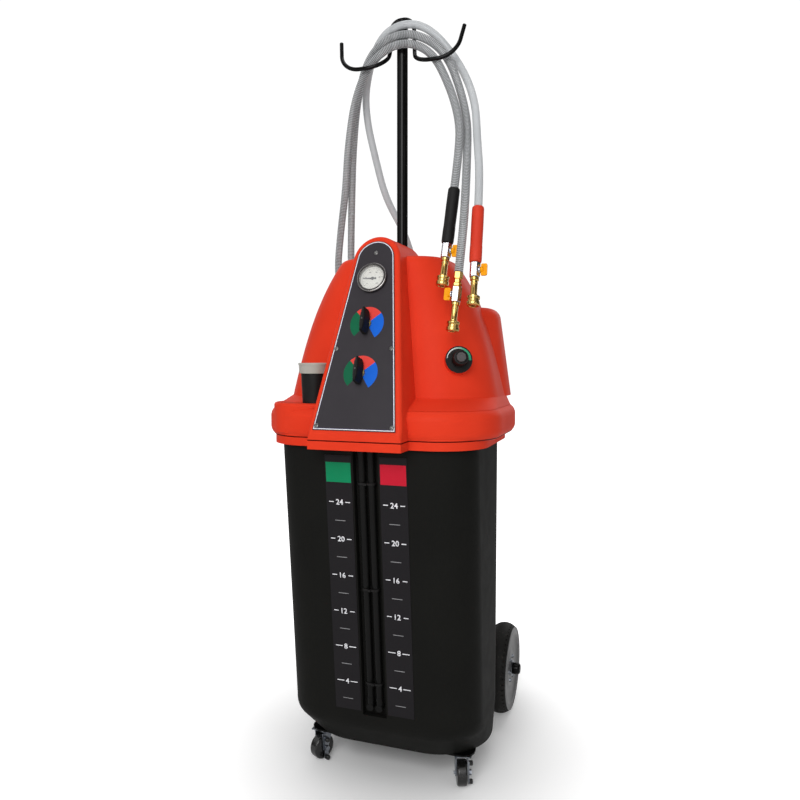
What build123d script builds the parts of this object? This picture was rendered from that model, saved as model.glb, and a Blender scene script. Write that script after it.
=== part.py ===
from build123d import *
from math import asin, atan2, cos, radians, sin, sqrt, tan
import os

# Coolant service machine: a twin coolant tank on wheels under a moulded cover, with a
# control console, a mast with hose hooks and three service hoses.
# Millimetres. X to the right, front toward -Y, Z up. The origin is on the floor under the
# middle of the machine.

os.makedirs("parts", exist_ok=True)

# Fits used by many pieces
soft_gap = 0.3
shaft_fit = 0.05
hole_fit = 0.25
overrun = 2.0

# Overall places
front_y = -307.0
tank_bottom_z = 64.0
tank_top_z = 690.0

# Rear wheels and axle
wheel_r = 101.6
wheel_width = 44.0
wheel_outer_x = 187.0
axle_y = 205.0
axle_r = 8.0

# Tank
tank_half_width = 192.0
tank_front_top_y = -256.0
tank_front_knee_y = -203.0
tank_front_foot_y = -150.0
tank_knee_z = 130.0
tank_back_y = 92.0
tank_front_corner_r = 75.0
tank_foot_corner_r = 112.0
tank_rear_corner_r = 120.0
tank_foot_inset = 4.0
tank_roll_r = 70.0
tank_wall = 5.0
tank_divider = 6.0
channel_half_width = 24.0
channel_depth = 14.0
channel_foot_z = 150.0
rim_height = 14.0
rim_clearance = 0.8

# Cover
cover_overhang = 36.0
cover_half_width = tank_half_width + cover_overhang
cover_front_y = -270.0
cover_back_y = 110.0
cover_front_corner_r = 120.0
cover_rear_corner_r = 140.0
cover_lip_z = 668.0
groove_z = 679.0
brim_under_r = 20.0
lip_side_inset = 20.0
lip_front_inset = 5.0
lip_front_corner_r = 90.0
lip_rear_corner_r = 135.0
brim_top_z = 738.0
brim_round_r = 20.0
lip_wall = 5.0
ledge_wall = 20.0
cover_wall = 5.0
shelf_inset = 10.0
dome_base_z = 755.0
dome_top_z = 1020.0
dome_inset = 19.0
dome_half_width = cover_half_width - dome_inset
dome_front_y = -205.0
dome_back_y = 92.0
dome_front_lean = 50.0
dome_back_lean = 52.0
dome_front_corner_r = 110.0
dome_rear_corner_r = 120.0
dome_round_r = 18.0
saddle_bulge = 4.0
saddle_half_width = dome_half_width + saddle_bulge
saddle_front_y = -95.0
saddle_back_y = 97.0
saddle_top_z = 928.0
saddle_taper = 8.0
saddle_corner_r = 90.0
saddle_round_r = 24.0

# Control console and its panel
panel_foot_z = 703.0
panel_lean = 19.6
panel_length = 361.0
panel_foot_half_width = 77.0
panel_top_r = 36.0
panel_thickness = 2.0
panel_border = 10.0
panel_opening_border = 13.0
console_back_y = -60.0
console_round_r = 7.0

# Mast and hook
mast_y = -45.0
mast_r = 11.0
mast_wall = 1.5
mast_top_z = 1496.3
hook_rod_r = 4.0

# Service hoses, each from its elbow on the back wall up over the hook to its fittings
hose_r = 8.0
hose_bore_r = 5.5
slim_hose_r = 7.5
slim_hose_bore_r = 5.0
run_share = 0.45
bulkhead_reach = 27.0
bulkhead_drop = 26.0
hose_points = {
    "inner": [
        (-20, 124, 774), (-20, 124, 640), (-21, 138, 510), (-20, 150, 383), (-72, 154, 331),
        (-146, 154, 331), (-198, 150, 383), (-200, 145, 510), (-200, 140, 640), (-198, 132, 780),
        (-198, 112, 915), (-194, 66, 1018), (-173, 40, 1111), (-148, 10, 1189), (-131, -16, 1274),
        (-99, -50, 1366), (-56, -62, 1428), (9, -69, 1450), (66, -58, 1426), (106, -70, 1348),
        (134, -104, 1270), (141, -136, 1207), (137, -154, 1135),
    ],
    "middle": [
        (30, 124, 774), (30, 124, 640), (31, 144, 500), (30, 168, 355), (-25, 174, 300),
        (-101, 174, 300), (-156, 172, 355), (-158, 166, 490), (-158, 158, 630), (-160, 148, 770),
        (-165, 120, 905), (-163, 72, 1022), (-154, 54, 1110), (-141, 28, 1188), (-127, 2, 1273),
        (-102, -30, 1378), (-60, -58, 1446), (9, -69, 1467), (63, -58, 1448), (98, -52, 1410),
        (124, -63, 1345), (144, -82, 1275), (155, -132, 1190), (161, -166, 1118), (163, -190, 1050),
        (158, -200, 979),
    ],
    "outer": [
        (140, 124, 774), (140, 124, 680), (141, 148, 570), (140, 178, 466), (91, 188, 417),
        (23, 190, 417), (-26, 190, 466), (-30, 186, 570), (-26, 178, 690), (-18, 164, 810),
        (-12, 130, 920), (-12, 84, 1015), (-30, 60, 1100), (-67, 40, 1171), (-84, 24, 1252),
        (-97, 6, 1329), (-93, -12, 1392), (-51, -50, 1467), (9, -71, 1484), (61, -50, 1474),
        (114, -28, 1408), (155, -68, 1320), (171, -118, 1228), (183, -148, 1157), (184, -164, 1097),
    ],
}
hose_radii = {
    "inner": (hose_r, hose_bore_r), "middle": (hose_r, hose_bore_r),
    "outer": (slim_hose_r, slim_hose_bore_r),
}

# Fittings on the hose ends
grip_r = 11.0
grip_length = 105.0
grip_round_r = 2.0
nut_waist_share = 0.5
nut_r = 8.5
nut_length = 26.0
valve_r = 9.5
valve_length = 28.0
valve_stem_r = 3.0
valve_stem_length = 13.0
handle_hub_r = 5.5
handle_hub_length = 4.5
handle_sheet = 3.0
handle_length = 22.0
handle_reach = 22.0
handle_stand_off = 10.3
handle_corner_r = 3.0
coupler_r = 6.5
coupler_length = 52.0
coupler_bore_r = 4.0
coupler_nut_r = 8.0
coupler_nut_length = 6.0
collar_r = 12.0
collar_length = 18.0
collar_groove = 1.5


def rounded_outline(height, half_width, front, back, front_r, rear_r):
    """A plan outline with its own corner radius at the front and at the rear."""
    with BuildSketch(Plane.XY.offset(height)) as outline:
        with Locations((0, (front + back) / 2)):
            Rectangle(2 * half_width, back - front)
        fillet(outline.vertices().group_by(Axis.Y)[0], radius=front_r)
        fillet(outline.vertices().group_by(Axis.Y)[-1], radius=rear_r)
    return outline.sketch


def tank_front_at(height):
    """Where the leaning front wall stands at a height."""
    lean = (tank_front_top_y - tank_front_knee_y) / (tank_top_z - tank_knee_z)
    return tank_front_knee_y + lean * (height - tank_knee_z)


def tank_section(height, front, inset):
    """One level of the tank, drawn in by a wall. Below the knee it narrows toward the foot."""
    share = max(0, (tank_knee_z - height) / (tank_knee_z - tank_bottom_z))
    taper = tank_foot_inset * share + inset
    front_r = tank_front_corner_r + (tank_foot_corner_r - tank_front_corner_r) * share
    return rounded_outline(
        height, tank_half_width - taper, front + inset, tank_back_y - taper, front_r - inset,
        tank_rear_corner_r - inset,
    )


def tank_roll_points():
    """Side view of the round turn at the knee: its lower end, its middle and its upper end."""
    knee = Vector(tank_front_knee_y, tank_knee_z)
    slope = (knee - Vector(tank_front_foot_y, tank_bottom_z)).normalized()
    wall = (Vector(tank_front_top_y, tank_top_z) - knee).normalized()
    half_turn = radians(slope.get_angle(wall)) / 2
    reach = tank_roll_r * tan(half_turn)
    rise = tank_roll_r * (1 / cos(half_turn) - 1)
    return knee - slope * reach, knee + (wall - slope).normalized() * rise, knee + wall * reach


def lip_outline(height, inset):
    """The plan of the cover's lip, and of the tank's rim inside it."""
    return rounded_outline(
        height, cover_half_width - lip_side_inset - inset, cover_front_y + lip_front_inset + inset,
        cover_back_y - lip_front_inset - inset, lip_front_corner_r - inset, lip_rear_corner_r - inset,
    )


# Tank: one moulded shell with two chambers side by side
def tank_form(inset, top):
    """The tank's outside, or with an inset the space inside its wall."""
    roll = [tank_section(point.Y, point.X, inset) for point in tank_roll_points()]
    with BuildPart() as form:
        loft([tank_section(tank_bottom_z + inset, tank_front_foot_y, inset), roll[0]], ruled=True)
        loft(roll)
        loft([roll[-1], tank_section(top, tank_front_at(top), inset)], ruled=True)
    return form.part


chamber_top_z = tank_top_z - tank_wall
fill_port_x = -108.0
fill_port_y = -231.0
fill_port_r = 17.5
dip_tube_r = 8.0
dip_places = ((-60.0, -100.0), (60.0, -100.0))


def channel_form(inset):
    """The upright groove down the middle of the front, or with an inset its wall's inside."""
    half_width = channel_half_width + inset
    depth = channel_depth + inset
    foot_y = tank_front_at(channel_foot_z)
    top_y = tank_front_at(tank_top_z + overrun)
    with BuildPart() as form:
        with BuildSketch(Plane.XY.offset(channel_foot_z - inset)):
            with Locations((0, foot_y)):
                Rectangle(2 * half_width, 2 * depth)
        with BuildSketch(Plane.XY.offset(tank_top_z + overrun)):
            with Locations((0, top_y)):
                Rectangle(2 * half_width, 2 * depth)
        loft(ruled=True)
    return form.part


with BuildPart() as chambers:
    add(tank_form(tank_wall, chamber_top_z))
    add(channel_form(tank_wall), mode=Mode.SUBTRACT)
    with Locations((0, 0, tank_top_z / 2)):
        Box(tank_divider, 2 * axle_y, tank_top_z, mode=Mode.SUBTRACT)

with BuildPart() as tank:
    add(tank_form(0, tank_top_z))
    extrude(lip_outline(tank_top_z - rim_height, lip_wall + rim_clearance), amount=rim_height)
    add(channel_form(0), mode=Mode.SUBTRACT)
    add(chambers.part, mode=Mode.SUBTRACT)
    with Locations((fill_port_x, fill_port_y, tank_top_z)):
        Cylinder(fill_port_r, 2 * tank_wall + 2 * overrun, mode=Mode.SUBTRACT)
    with Locations(*[(x, y, tank_top_z) for x, y in dip_places]):
        Cylinder(dip_tube_r + hole_fit, 2 * tank_wall + 2 * overrun, mode=Mode.SUBTRACT)
tank.part.label = "tank"
export_step(tank.part, "parts/tank.step")


# Cover: one moulded shell with a brim, a dome, a rear saddle, a fill ledge and a console
def brim_outline(height, inset):
    """The brim's plan, drawn in by an inset."""
    return rounded_outline(
        height, cover_half_width - inset, cover_front_y + inset, cover_back_y - inset,
        cover_front_corner_r - inset, cover_rear_corner_r - inset,
    )


dome_height_shares = (0.0, 0.38, 0.75, 1.0)
dome_width_shares = (1.0, 0.89, 0.715, 0.50)
dome_corner_shares = (1.0, 0.92, 0.8, 0.6)


def dome_form(inset, base):
    """The dome above a base height, drawn in by an inset."""
    with BuildPart() as form:
        levels = []
        for rise, width, corner in zip(dome_height_shares, dome_width_shares, dome_corner_shares):
            height = base + rise * (dome_top_z - inset - base)
            levels.append(
                rounded_outline(
                    height, dome_half_width * width - inset,
                    dome_front_y + rise * dome_front_lean + inset,
                    dome_back_y - rise * dome_back_lean - inset,
                    dome_front_corner_r * corner - inset, dome_rear_corner_r * corner - inset,
                )
            )
        loft(levels)
        fillet(form.faces().sort_by(Axis.Z)[-1].edges(), radius=dome_round_r - inset)
    return form.part


def shelf_form(inset):
    """The sloping shelf from the brim up to the foot of the dome."""
    with BuildPart() as form:
        loft(
            [
                brim_outline(brim_top_z - overrun - inset, shelf_inset + inset),
                rounded_outline(
                    dome_base_z - inset, dome_half_width - inset, dome_front_y + inset,
                    dome_back_y - inset, dome_front_corner_r - inset, dome_rear_corner_r - inset,
                ),
            ],
            ruled=True,
        )
    return form.part


def saddle_form(inset, round_r):
    """The lower, wider body behind the dome's face."""
    depth = saddle_back_y - saddle_front_y - 2 * inset
    with BuildPart() as form:
        with BuildSketch(Plane.XY.offset(dome_base_z - overrun)):
            with Locations((0, (saddle_front_y + saddle_back_y) / 2)):
                RectangleRounded(2 * saddle_half_width - 2 * inset, depth, saddle_corner_r - inset)
        extrude(amount=saddle_top_z - inset - dome_base_z + overrun, taper=saddle_taper)
        fillet(form.faces().sort_by(Axis.Z)[-1].edges(), radius=round_r)
    return form.part


# The panel lies on a leaning plane: its local X to the right, its local Y up the slope.
# The console is built round it.
panel_plane = Plane(
    origin=(0, front_y, panel_foot_z),
    x_dir=(1, 0, 0),
    z_dir=(0, -cos(radians(panel_lean)), sin(radians(panel_lean))),
)
slope_rise = cos(radians(panel_lean))
console_half_width = panel_foot_half_width + panel_border
console_top_r = panel_top_r + panel_border
console_top_z = panel_foot_z + (panel_length + panel_border) * slope_rise


def arched_outline(foot_half_width, top_r, centre_height):
    """A gable of two straight sides that run tangent into a round top."""
    reach = sqrt(foot_half_width**2 + centre_height**2)
    side_angle = atan2(centre_height, -foot_half_width) - asin(top_r / reach)
    side_length = sqrt(reach**2 - top_r**2)
    side_x = foot_half_width + side_length * cos(side_angle)
    side_y = side_length * sin(side_angle)
    with BuildSketch() as outline:
        with BuildLine():
            Polyline((-side_x, side_y), (-foot_half_width, 0), (foot_half_width, 0), (side_x, side_y))
            ThreePointArc((side_x, side_y), (0, centre_height + top_r), (-side_x, side_y))
        make_face()
    return outline.sketch


def console_form(inset, back_y, foot_z):
    """The console wedge, cut at the front by the panel's plane."""
    centre_z = console_top_z - console_top_r
    front_plane = Plane(origin=(0, front_y, panel_foot_z), x_dir=(1, 0, 0), z_dir=(0, -1, 0))
    with BuildPart() as form:
        with BuildSketch(front_plane):
            add(arched_outline(console_half_width - inset, console_top_r - inset, centre_z - panel_foot_z))
            with Locations((0, (foot_z - panel_foot_z) / 2)):
                Rectangle(2 * (console_half_width - inset), panel_foot_z - foot_z)
        extrude(amount=front_y - back_y)
        with BuildSketch(panel_plane.offset(-panel_thickness - inset)):
            with Locations((0, panel_length / 2)):
                Rectangle(cover_half_width, 2 * panel_length)
        extrude(amount=panel_length, mode=Mode.SUBTRACT)
        if inset == 0:
            front_face = form.faces().sort_by(Axis(panel_plane.origin, panel_plane.z_dir))[-1]
            fillet(front_face.edges(), radius=console_round_r)
    return form.part


fill_ledge_half_width = 70.0
fill_ledge_top_z = 745.0
fill_ledge_front_y = -262.0
fill_ledge_corner_r = 60.0
fill_ledge_shift = 23.0
fill_ledge_round_r = 5.0


def ledge_form():
    """The raised pad that the fill neck stands on."""
    back = dome_front_y + dome_front_corner_r
    with BuildPart() as form:
        with BuildSketch(Plane.XY.offset(tank_top_z)):
            with Locations((fill_port_x - fill_ledge_shift, (fill_ledge_front_y + back) / 2)):
                RectangleRounded(
                    2 * fill_ledge_half_width, back - fill_ledge_front_y, fill_ledge_corner_r
                )
        extrude(amount=fill_ledge_top_z - tank_top_z)
        fillet(form.faces().sort_by(Axis.Z)[-1].edges(), radius=fill_ledge_round_r)
    return form.part


def panel_outline(inset):
    """The panel's outline in its own plane, drawn in by an inset."""
    centre = panel_length - panel_top_r
    outline = arched_outline(panel_foot_half_width - inset, panel_top_r - inset, centre - inset)
    return outline.moved(Location((0, inset)))


# Places on the cover that fittings share
standing = (Align.CENTER, Align.CENTER, Align.MIN)
hanging = (Align.CENTER, Align.CENTER, Align.MAX)
opening_depth = 30.0
neck_spigot_r = 17.0
neck_top_r = 26.0
regulator_inset = 54.0
regulator_x = dome_half_width - regulator_inset
regulator_y = -185.0
regulator_z = 825.0
regulator_turn = 24.0
regulator_tilt = 10.0
regulator_stem_r = 9.0
regulator_body_r = 19.0
regulator_back = 16.0
pad_r = 25.0
boss_r = 14.0
bulkhead_thread_r = 8.0
bulkhead_xs = (-20.0, 30.0, 140.0)
bulkhead_z = 800.0
inlet_thread_r = 6.5
inlet_x = -110.0
inlet_z = 800.0

regulator_plane = Plane(
    origin=(regulator_x, regulator_y, regulator_z),
    x_dir=(cos(radians(regulator_turn)), sin(radians(regulator_turn)), 0),
    z_dir=(
        sin(radians(regulator_turn)) * cos(radians(regulator_tilt)),
        -cos(radians(regulator_turn)) * cos(radians(regulator_tilt)),
        sin(radians(regulator_tilt)),
    ),
)


def back_wall_plane(x, z):
    """A plane on the cover's back wall, its normal pointing backward."""
    return Plane(origin=(x, saddle_back_y, z), x_dir=(-1, 0, 0), z_dir=(0, 1, 0))


bulkhead_planes = [back_wall_plane(x, bulkhead_z) for x in bulkhead_xs]
air_inlet_plane = back_wall_plane(inlet_x, inlet_z)

with BuildPart() as brim:
    extrude(brim_outline(groove_z, 0), amount=brim_top_z - groove_z)
    fillet(brim.faces().sort_by(Axis.Z)[-1].edges(), radius=brim_round_r)
    fillet(brim.faces().sort_by(Axis.Z)[0].edges(), radius=brim_under_r)
    extrude(lip_outline(cover_lip_z, 0), amount=tank_top_z - cover_lip_z)

with BuildPart() as top_cover:
    add(brim.part)
    add(shelf_form(0))
    add(dome_form(0, dome_base_z))
    add(saddle_form(0, saddle_round_r))
    add(ledge_form())
    add(console_form(0, console_back_y, cover_lip_z))
    with Locations(regulator_plane):
        Cylinder(pad_r, opening_depth, align=hanging)
    with Locations(bulkhead_planes + [air_inlet_plane]):
        Cylinder(boss_r, opening_depth, align=hanging)
    lip_space = lip_outline(cover_lip_z - overrun, lip_wall)
    extrude(lip_space, amount=tank_top_z - cover_lip_z + overrun, mode=Mode.SUBTRACT)
    brim_space = brim_outline(tank_top_z - overrun, ledge_wall)
    extrude(brim_space, amount=brim_top_z - cover_wall - tank_top_z + overrun, mode=Mode.SUBTRACT)
    neck_space = rounded_outline(
        tank_top_z, dome_half_width - cover_wall, dome_front_y + cover_wall, dome_back_y - cover_wall,
        dome_front_corner_r - cover_wall, dome_rear_corner_r - cover_wall,
    )
    extrude(neck_space, amount=dome_base_z - tank_top_z, mode=Mode.SUBTRACT)
    add(dome_form(cover_wall, dome_base_z - cover_wall), mode=Mode.SUBTRACT)
    add(saddle_form(cover_wall, saddle_round_r - cover_wall), mode=Mode.SUBTRACT)
    add(console_form(cover_wall, console_back_y - cover_wall, tank_top_z), mode=Mode.SUBTRACT)
    with BuildSketch(panel_plane.offset(overrun)):
        add(panel_outline(panel_opening_border))
    extrude(amount=-opening_depth, mode=Mode.SUBTRACT)
    with Locations((fill_port_x, fill_port_y, fill_ledge_top_z)):
        Cylinder(neck_spigot_r + hole_fit, 2 * (fill_ledge_top_z - tank_top_z), mode=Mode.SUBTRACT)
        Cylinder(neck_top_r + soft_gap, opening_depth, align=standing, mode=Mode.SUBTRACT)
    with Locations((0, mast_y, dome_top_z)):
        Cylinder(mast_r + hole_fit, 2 * ledge_wall, mode=Mode.SUBTRACT)
    with Locations(regulator_plane):
        Cylinder(regulator_stem_r + hole_fit, 2 * opening_depth, mode=Mode.SUBTRACT)
    with Locations(regulator_plane.offset(-regulator_back)):
        Cylinder(regulator_body_r + soft_gap, opening_depth, align=hanging, mode=Mode.SUBTRACT)
    with Locations(bulkhead_planes):
        Cylinder(bulkhead_thread_r + hole_fit, 2 * opening_depth, mode=Mode.SUBTRACT)
    with Locations(air_inlet_plane):
        Cylinder(inlet_thread_r + hole_fit, 2 * opening_depth, mode=Mode.SUBTRACT)
top_cover.part.label = "top_cover"
export_step(top_cover.part, "parts/top_cover.step")


# Control panel and its screws
gauge_from_top = 75.5
gauge_at = panel_length - gauge_from_top
gauge_case_r = 25.5
gauge_bezel_r = 28.5
gauge_bezel_height = 8.0
gauge_case_depth = 26.0
gauge_rim_wall = 2.0
gauge_window_r = gauge_case_r - gauge_rim_wall
gauge_dial_thickness = 1.0
gauge_lens_thickness = 2.0
gauge_stem_r = 6.5
gauge_stem_length = 16.0
needle_length = 19.0
needle_tail = 7.0
needle_width = 1.6
needle_hub_r = 3.0
needle_pin_r = 0.8
upper_selector_share = 0.548476
lower_selector_share = 0.290859
upper_selector_at = panel_length * upper_selector_share
lower_selector_at = panel_length * lower_selector_share
selector_stem_r = 4.0
selector_nut_r = 8.0
selector_nut_height = 5.0
selector_body_size = 46.0
selector_body_depth = 42.0
knob_length = 50.0
knob_tip_width = 8.0
knob_width = 14.0
knob_height = 27.0
knob_top_draft = 4.0
screw_r = 2.0
screw_head_r = 4.2
screw_head_height = 1.8
screw_length = 9.0
screw_slot_width = 1.0
screw_edge = 6.0
screw_from_foot = 7.5
middle_screws_share = 0.4155
screw_rows = (screw_from_foot, panel_length * middle_screws_share)
screw_from_top = 24.0


def on_panel(x, y):
    """A plane on the panel's face, its normal pointing out."""
    return Plane(panel_plane.location * Location((x, y, 0)))


def panel_edge_x(y):
    """How far the panel reaches to each side at a distance up its slope."""
    narrowing = (panel_foot_half_width - panel_top_r) / (panel_length - panel_top_r)
    return panel_foot_half_width - narrowing * y


screw_places = [(0, panel_length - screw_from_top)]
for row in screw_rows:
    screw_places += [(screw_edge - panel_edge_x(row), row), (panel_edge_x(row) - screw_edge, row)]


gauge_plane = on_panel(0, gauge_at)
upper_plane = on_panel(0, upper_selector_at)
lower_plane = on_panel(0, lower_selector_at)

with BuildPart() as control_panel:
    with BuildSketch(panel_plane):
        add(panel_outline(0))
        with Locations((0, gauge_at)):
            Circle(gauge_case_r + hole_fit, mode=Mode.SUBTRACT)
        with Locations((0, upper_selector_at), (0, lower_selector_at)):
            Circle(selector_stem_r + selector_nut_height, mode=Mode.SUBTRACT)
        with Locations(*screw_places):
            Circle(screw_r + hole_fit, mode=Mode.SUBTRACT)
    extrude(amount=-panel_thickness)
control_panel.part.label = "control_panel"
export_step(control_panel.part, "parts/control_panel.step")

with BuildPart() as panel_screws:
    for x, y in screw_places:
        with Locations(on_panel(x, y)):
            Cylinder(screw_head_r, screw_head_height, align=standing)
            Cylinder(screw_r, screw_length, align=hanging)
            with Locations((0, 0, screw_head_height)):
                Box(2 * screw_head_r, screw_slot_width, screw_slot_width, mode=Mode.SUBTRACT)
                Box(screw_slot_width, 2 * screw_head_r, screw_slot_width, mode=Mode.SUBTRACT)
panel_screws.part.label = "panel_screws"
export_step(panel_screws.part, "parts/panel_screws.step")

# Pressure gauge: case with its bezel, dial, needle and lens
with BuildPart() as gauge_case:
    with Locations(gauge_plane):
        Cylinder(gauge_bezel_r, gauge_bezel_height, align=standing)
        Cylinder(gauge_case_r, gauge_case_depth, align=hanging)
    fillet(gauge_case.edges().group_by(Axis(gauge_plane.origin, gauge_plane.z_dir))[-1], gauge_rim_wall)
    with Locations(gauge_plane):
        Cylinder(gauge_window_r, gauge_bezel_height + overrun, align=standing, mode=Mode.SUBTRACT)
    with Locations(gauge_plane.offset(-gauge_case_depth)):
        Cylinder(gauge_stem_r, gauge_stem_length, align=hanging)
gauge_case.part.label = "gauge_case"
export_step(gauge_case.part, "parts/gauge_case.step")

with BuildPart() as gauge_dial:
    with Locations(gauge_plane):
        Cylinder(gauge_window_r - soft_gap, gauge_dial_thickness, align=standing)
    with Locations(gauge_plane.offset(gauge_dial_thickness)):
        Cylinder(needle_pin_r, needle_width, align=standing)
gauge_dial.part.label = "gauge_dial"
export_step(gauge_dial.part, "parts/gauge_dial.step")

with BuildPart() as gauge_needle:
    with BuildSketch(gauge_plane.offset(gauge_dial_thickness + soft_gap)):
        Circle(needle_hub_r)
        Polygon(
            (-needle_length, needle_width / 4), (-needle_length, -needle_width / 4),
            (needle_tail, -needle_width), (needle_tail, needle_width), align=None,
        )
        Circle(needle_pin_r + shaft_fit, mode=Mode.SUBTRACT)
    extrude(amount=gauge_dial_thickness)
gauge_needle.part.label = "gauge_needle"
export_step(gauge_needle.part, "parts/gauge_needle.step")

with BuildPart() as gauge_lens:
    with Locations(gauge_plane.offset(gauge_bezel_height - gauge_rim_wall)):
        Cylinder(gauge_window_r - soft_gap, gauge_lens_thickness, align=hanging)
gauge_lens.part.label = "gauge_lens"
export_step(gauge_lens.part, "parts/gauge_lens.step")


# Selector valves behind the panel, each with its pointer knob in front
def selector_body(plane):
    """A four-way valve: body behind the panel, nut and turning stem through it."""
    with BuildPart() as body:
        with Locations(plane.offset(-panel_thickness)):
            Cylinder(selector_body_size / 2, selector_nut_height, align=hanging)
        with Locations(plane.offset(-panel_thickness - selector_nut_height)):
            Box(
                selector_body_size, selector_body_size, selector_body_depth - selector_nut_height,
                align=hanging,
            )
            straight = body.edges().filter_by(GeomType.LINE).filter_by(Axis(plane.origin, plane.z_dir))
        fillet(straight, radius=selector_nut_height)
        with Locations(plane.offset(-panel_thickness)):
            Cylinder(selector_nut_r, panel_thickness + selector_nut_height, align=standing)
            Cylinder(selector_stem_r, panel_thickness + selector_stem_length, align=standing)
    return body.part


def pointer_knob(plane):
    """A tapered bar knob that points up the panel at rest, on a round hub."""
    with BuildPart() as knob:
        with BuildSketch(plane.offset(selector_nut_height + soft_gap)):
            with BuildLine():
                Polyline(
                    (-knob_width / 2, -knob_length / 2), (knob_width / 2, -knob_length / 2),
                    (knob_width / 2, knob_tip_width), (knob_tip_width / 2, knob_length / 2),
                    (-knob_tip_width / 2, knob_length / 2), (-knob_width / 2, knob_tip_width),
                    close=True,
                )
            make_face()
        extrude(amount=knob_height - selector_nut_height, taper=knob_top_draft)
        fillet(knob.faces().sort_by(Axis(plane.origin, plane.z_dir))[-1].edges(), knob_round_r)
        with Locations(plane.offset(selector_nut_height)):
            Cylinder(selector_stem_r + shaft_fit, selector_socket_depth, align=standing, mode=Mode.SUBTRACT)
    return knob.part


selector_stem_length = 18.0
selector_socket_depth = 14.0
knob_round_r = 0.8

for name, plane in (("upper", upper_plane), ("lower", lower_plane)):
    with BuildPart() as selector_valve:
        add(selector_body(plane))
    selector_valve.part.label = f"{name}_selector_valve"
    export_step(selector_valve.part, f"parts/{name}_selector_valve.step")
    with BuildPart() as selector_knob:
        add(pointer_knob(plane))
    selector_knob.part.label = f"{name}_selector_knob"
    export_step(selector_knob.part, f"parts/{name}_selector_knob.step")

# Pressure regulator on the right of the dome
regulator_body_length = 48.0
regulator_plate_r = 24.5
regulator_plate_thickness = 2.5
pressure_knob_r = 14.5
pressure_knob_height = 24.0
pressure_knob_grip_count = 24
pressure_knob_grip_r = 1.0
pressure_knob_cap_r = 9.0
pressure_knob_cap_height = 2.5
pressure_stem_r = 4.0
pressure_stem_length = 16.0
octagon_sides = 8

with BuildPart() as regulator_body:
    with Locations(regulator_plane.offset(-regulator_back)):
        Cylinder(regulator_body_r, regulator_body_length, align=hanging)
        Cylinder(regulator_stem_r, regulator_back, align=standing)
        Cylinder(pressure_stem_r, regulator_back + pressure_stem_length, align=standing)
    with Locations(regulator_plane):
        Cylinder(regulator_plate_r, regulator_plate_thickness, align=standing)
regulator_body.part.label = "pressure_regulator"
export_step(regulator_body.part, "parts/pressure_regulator.step")

knob_plane = regulator_plane.offset(regulator_plate_thickness + soft_gap)
with BuildPart() as pressure_knob:
    with BuildSketch(knob_plane):
        Circle(pressure_knob_r)
        with PolarLocations(pressure_knob_r, pressure_knob_grip_count):
            Circle(pressure_knob_grip_r, mode=Mode.SUBTRACT)
    extrude(amount=pressure_knob_height)
    with BuildSketch(knob_plane.offset(pressure_knob_height)):
        RegularPolygon(pressure_knob_cap_r, octagon_sides)
    extrude(amount=pressure_knob_cap_height)
    with Locations(knob_plane):
        Cylinder(pressure_stem_r + shaft_fit, pressure_stem_length, align=standing, mode=Mode.SUBTRACT)
pressure_knob.part.label = "pressure_knob"
export_step(pressure_knob.part, "parts/pressure_knob.step")

# Fill neck on the left ledge, and its push-on cap
neck_foot_r = 23.0
neck_top_z = 815.0
neck_wall = 2.5
cap_r = 30.5
cap_skirt = 18.0
cap_top = 3.5
cap_rib_count = 36
cap_rib_r = 0.8
spigot_length = fill_ledge_top_z - tank_top_z + tank_wall + 2 * overrun
neck_plane = Plane(origin=(fill_port_x, fill_port_y, fill_ledge_top_z))

with BuildPart() as fill_neck:
    with BuildSketch(neck_plane):
        Circle(neck_foot_r)
    with BuildSketch(neck_plane.offset(neck_top_z - fill_ledge_top_z)):
        Circle(neck_top_r)
    loft()
    with Locations(neck_plane):
        Cylinder(neck_spigot_r, spigot_length, align=hanging)
    with BuildSketch(neck_plane.offset(neck_wall)):
        Circle(neck_foot_r - neck_wall)
    with BuildSketch(neck_plane.offset(neck_top_z - fill_ledge_top_z)):
        Circle(neck_top_r - neck_wall)
    loft(mode=Mode.SUBTRACT)
    with Locations(neck_plane.offset(neck_wall)):
        Cylinder(neck_spigot_r - neck_wall, 2 * spigot_length, align=hanging, mode=Mode.SUBTRACT)
fill_neck.part.label = "fill_neck"
export_step(fill_neck.part, "parts/fill_neck.step")

cap_plane = Plane(origin=(fill_port_x, fill_port_y, neck_top_z + soft_gap))
with BuildPart() as fill_cap:
    with BuildSketch(cap_plane.offset(-cap_skirt)):
        Circle(cap_r)
        with PolarLocations(cap_r, cap_rib_count):
            Circle(cap_rib_r, mode=Mode.SUBTRACT)
    extrude(amount=cap_skirt + cap_top)
    with Locations(cap_plane):
        Cylinder(neck_top_r + soft_gap, 2 * cap_skirt, align=hanging, mode=Mode.SUBTRACT)
fill_cap.part.label = "fill_cap"
export_step(fill_cap.part, "parts/fill_cap.step")

# Mast in its socket, with the hook rod welded at the top
socket_plate = 90.0
socket_plate_thickness = 4.0
socket_tube_length = 60.0
socket_wall = 3.0
hook_arch_half_width = 24.0
hook_arch_z = 1500.6
hook_arch_y = -45.0
hook_foot_x = 37.0
hook_knee_x = 26.0
hook_knee_y = -46.0
hook_knee_z = 1432.0
hook_valley_x = 118.0
hook_valley_y = -75.0
hook_valley_z = 1404.0
hook_tip_x = 129.0
hook_tip_y = -52.0
hook_tip_z = 1469.0
hook_valley_r = 44.0
hook_foot_r = 40.0
hook_knee_r = 24.0
hook_arch_r = 22.0
mast_length = mast_top_z - tank_top_z - socket_plate_thickness

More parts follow.
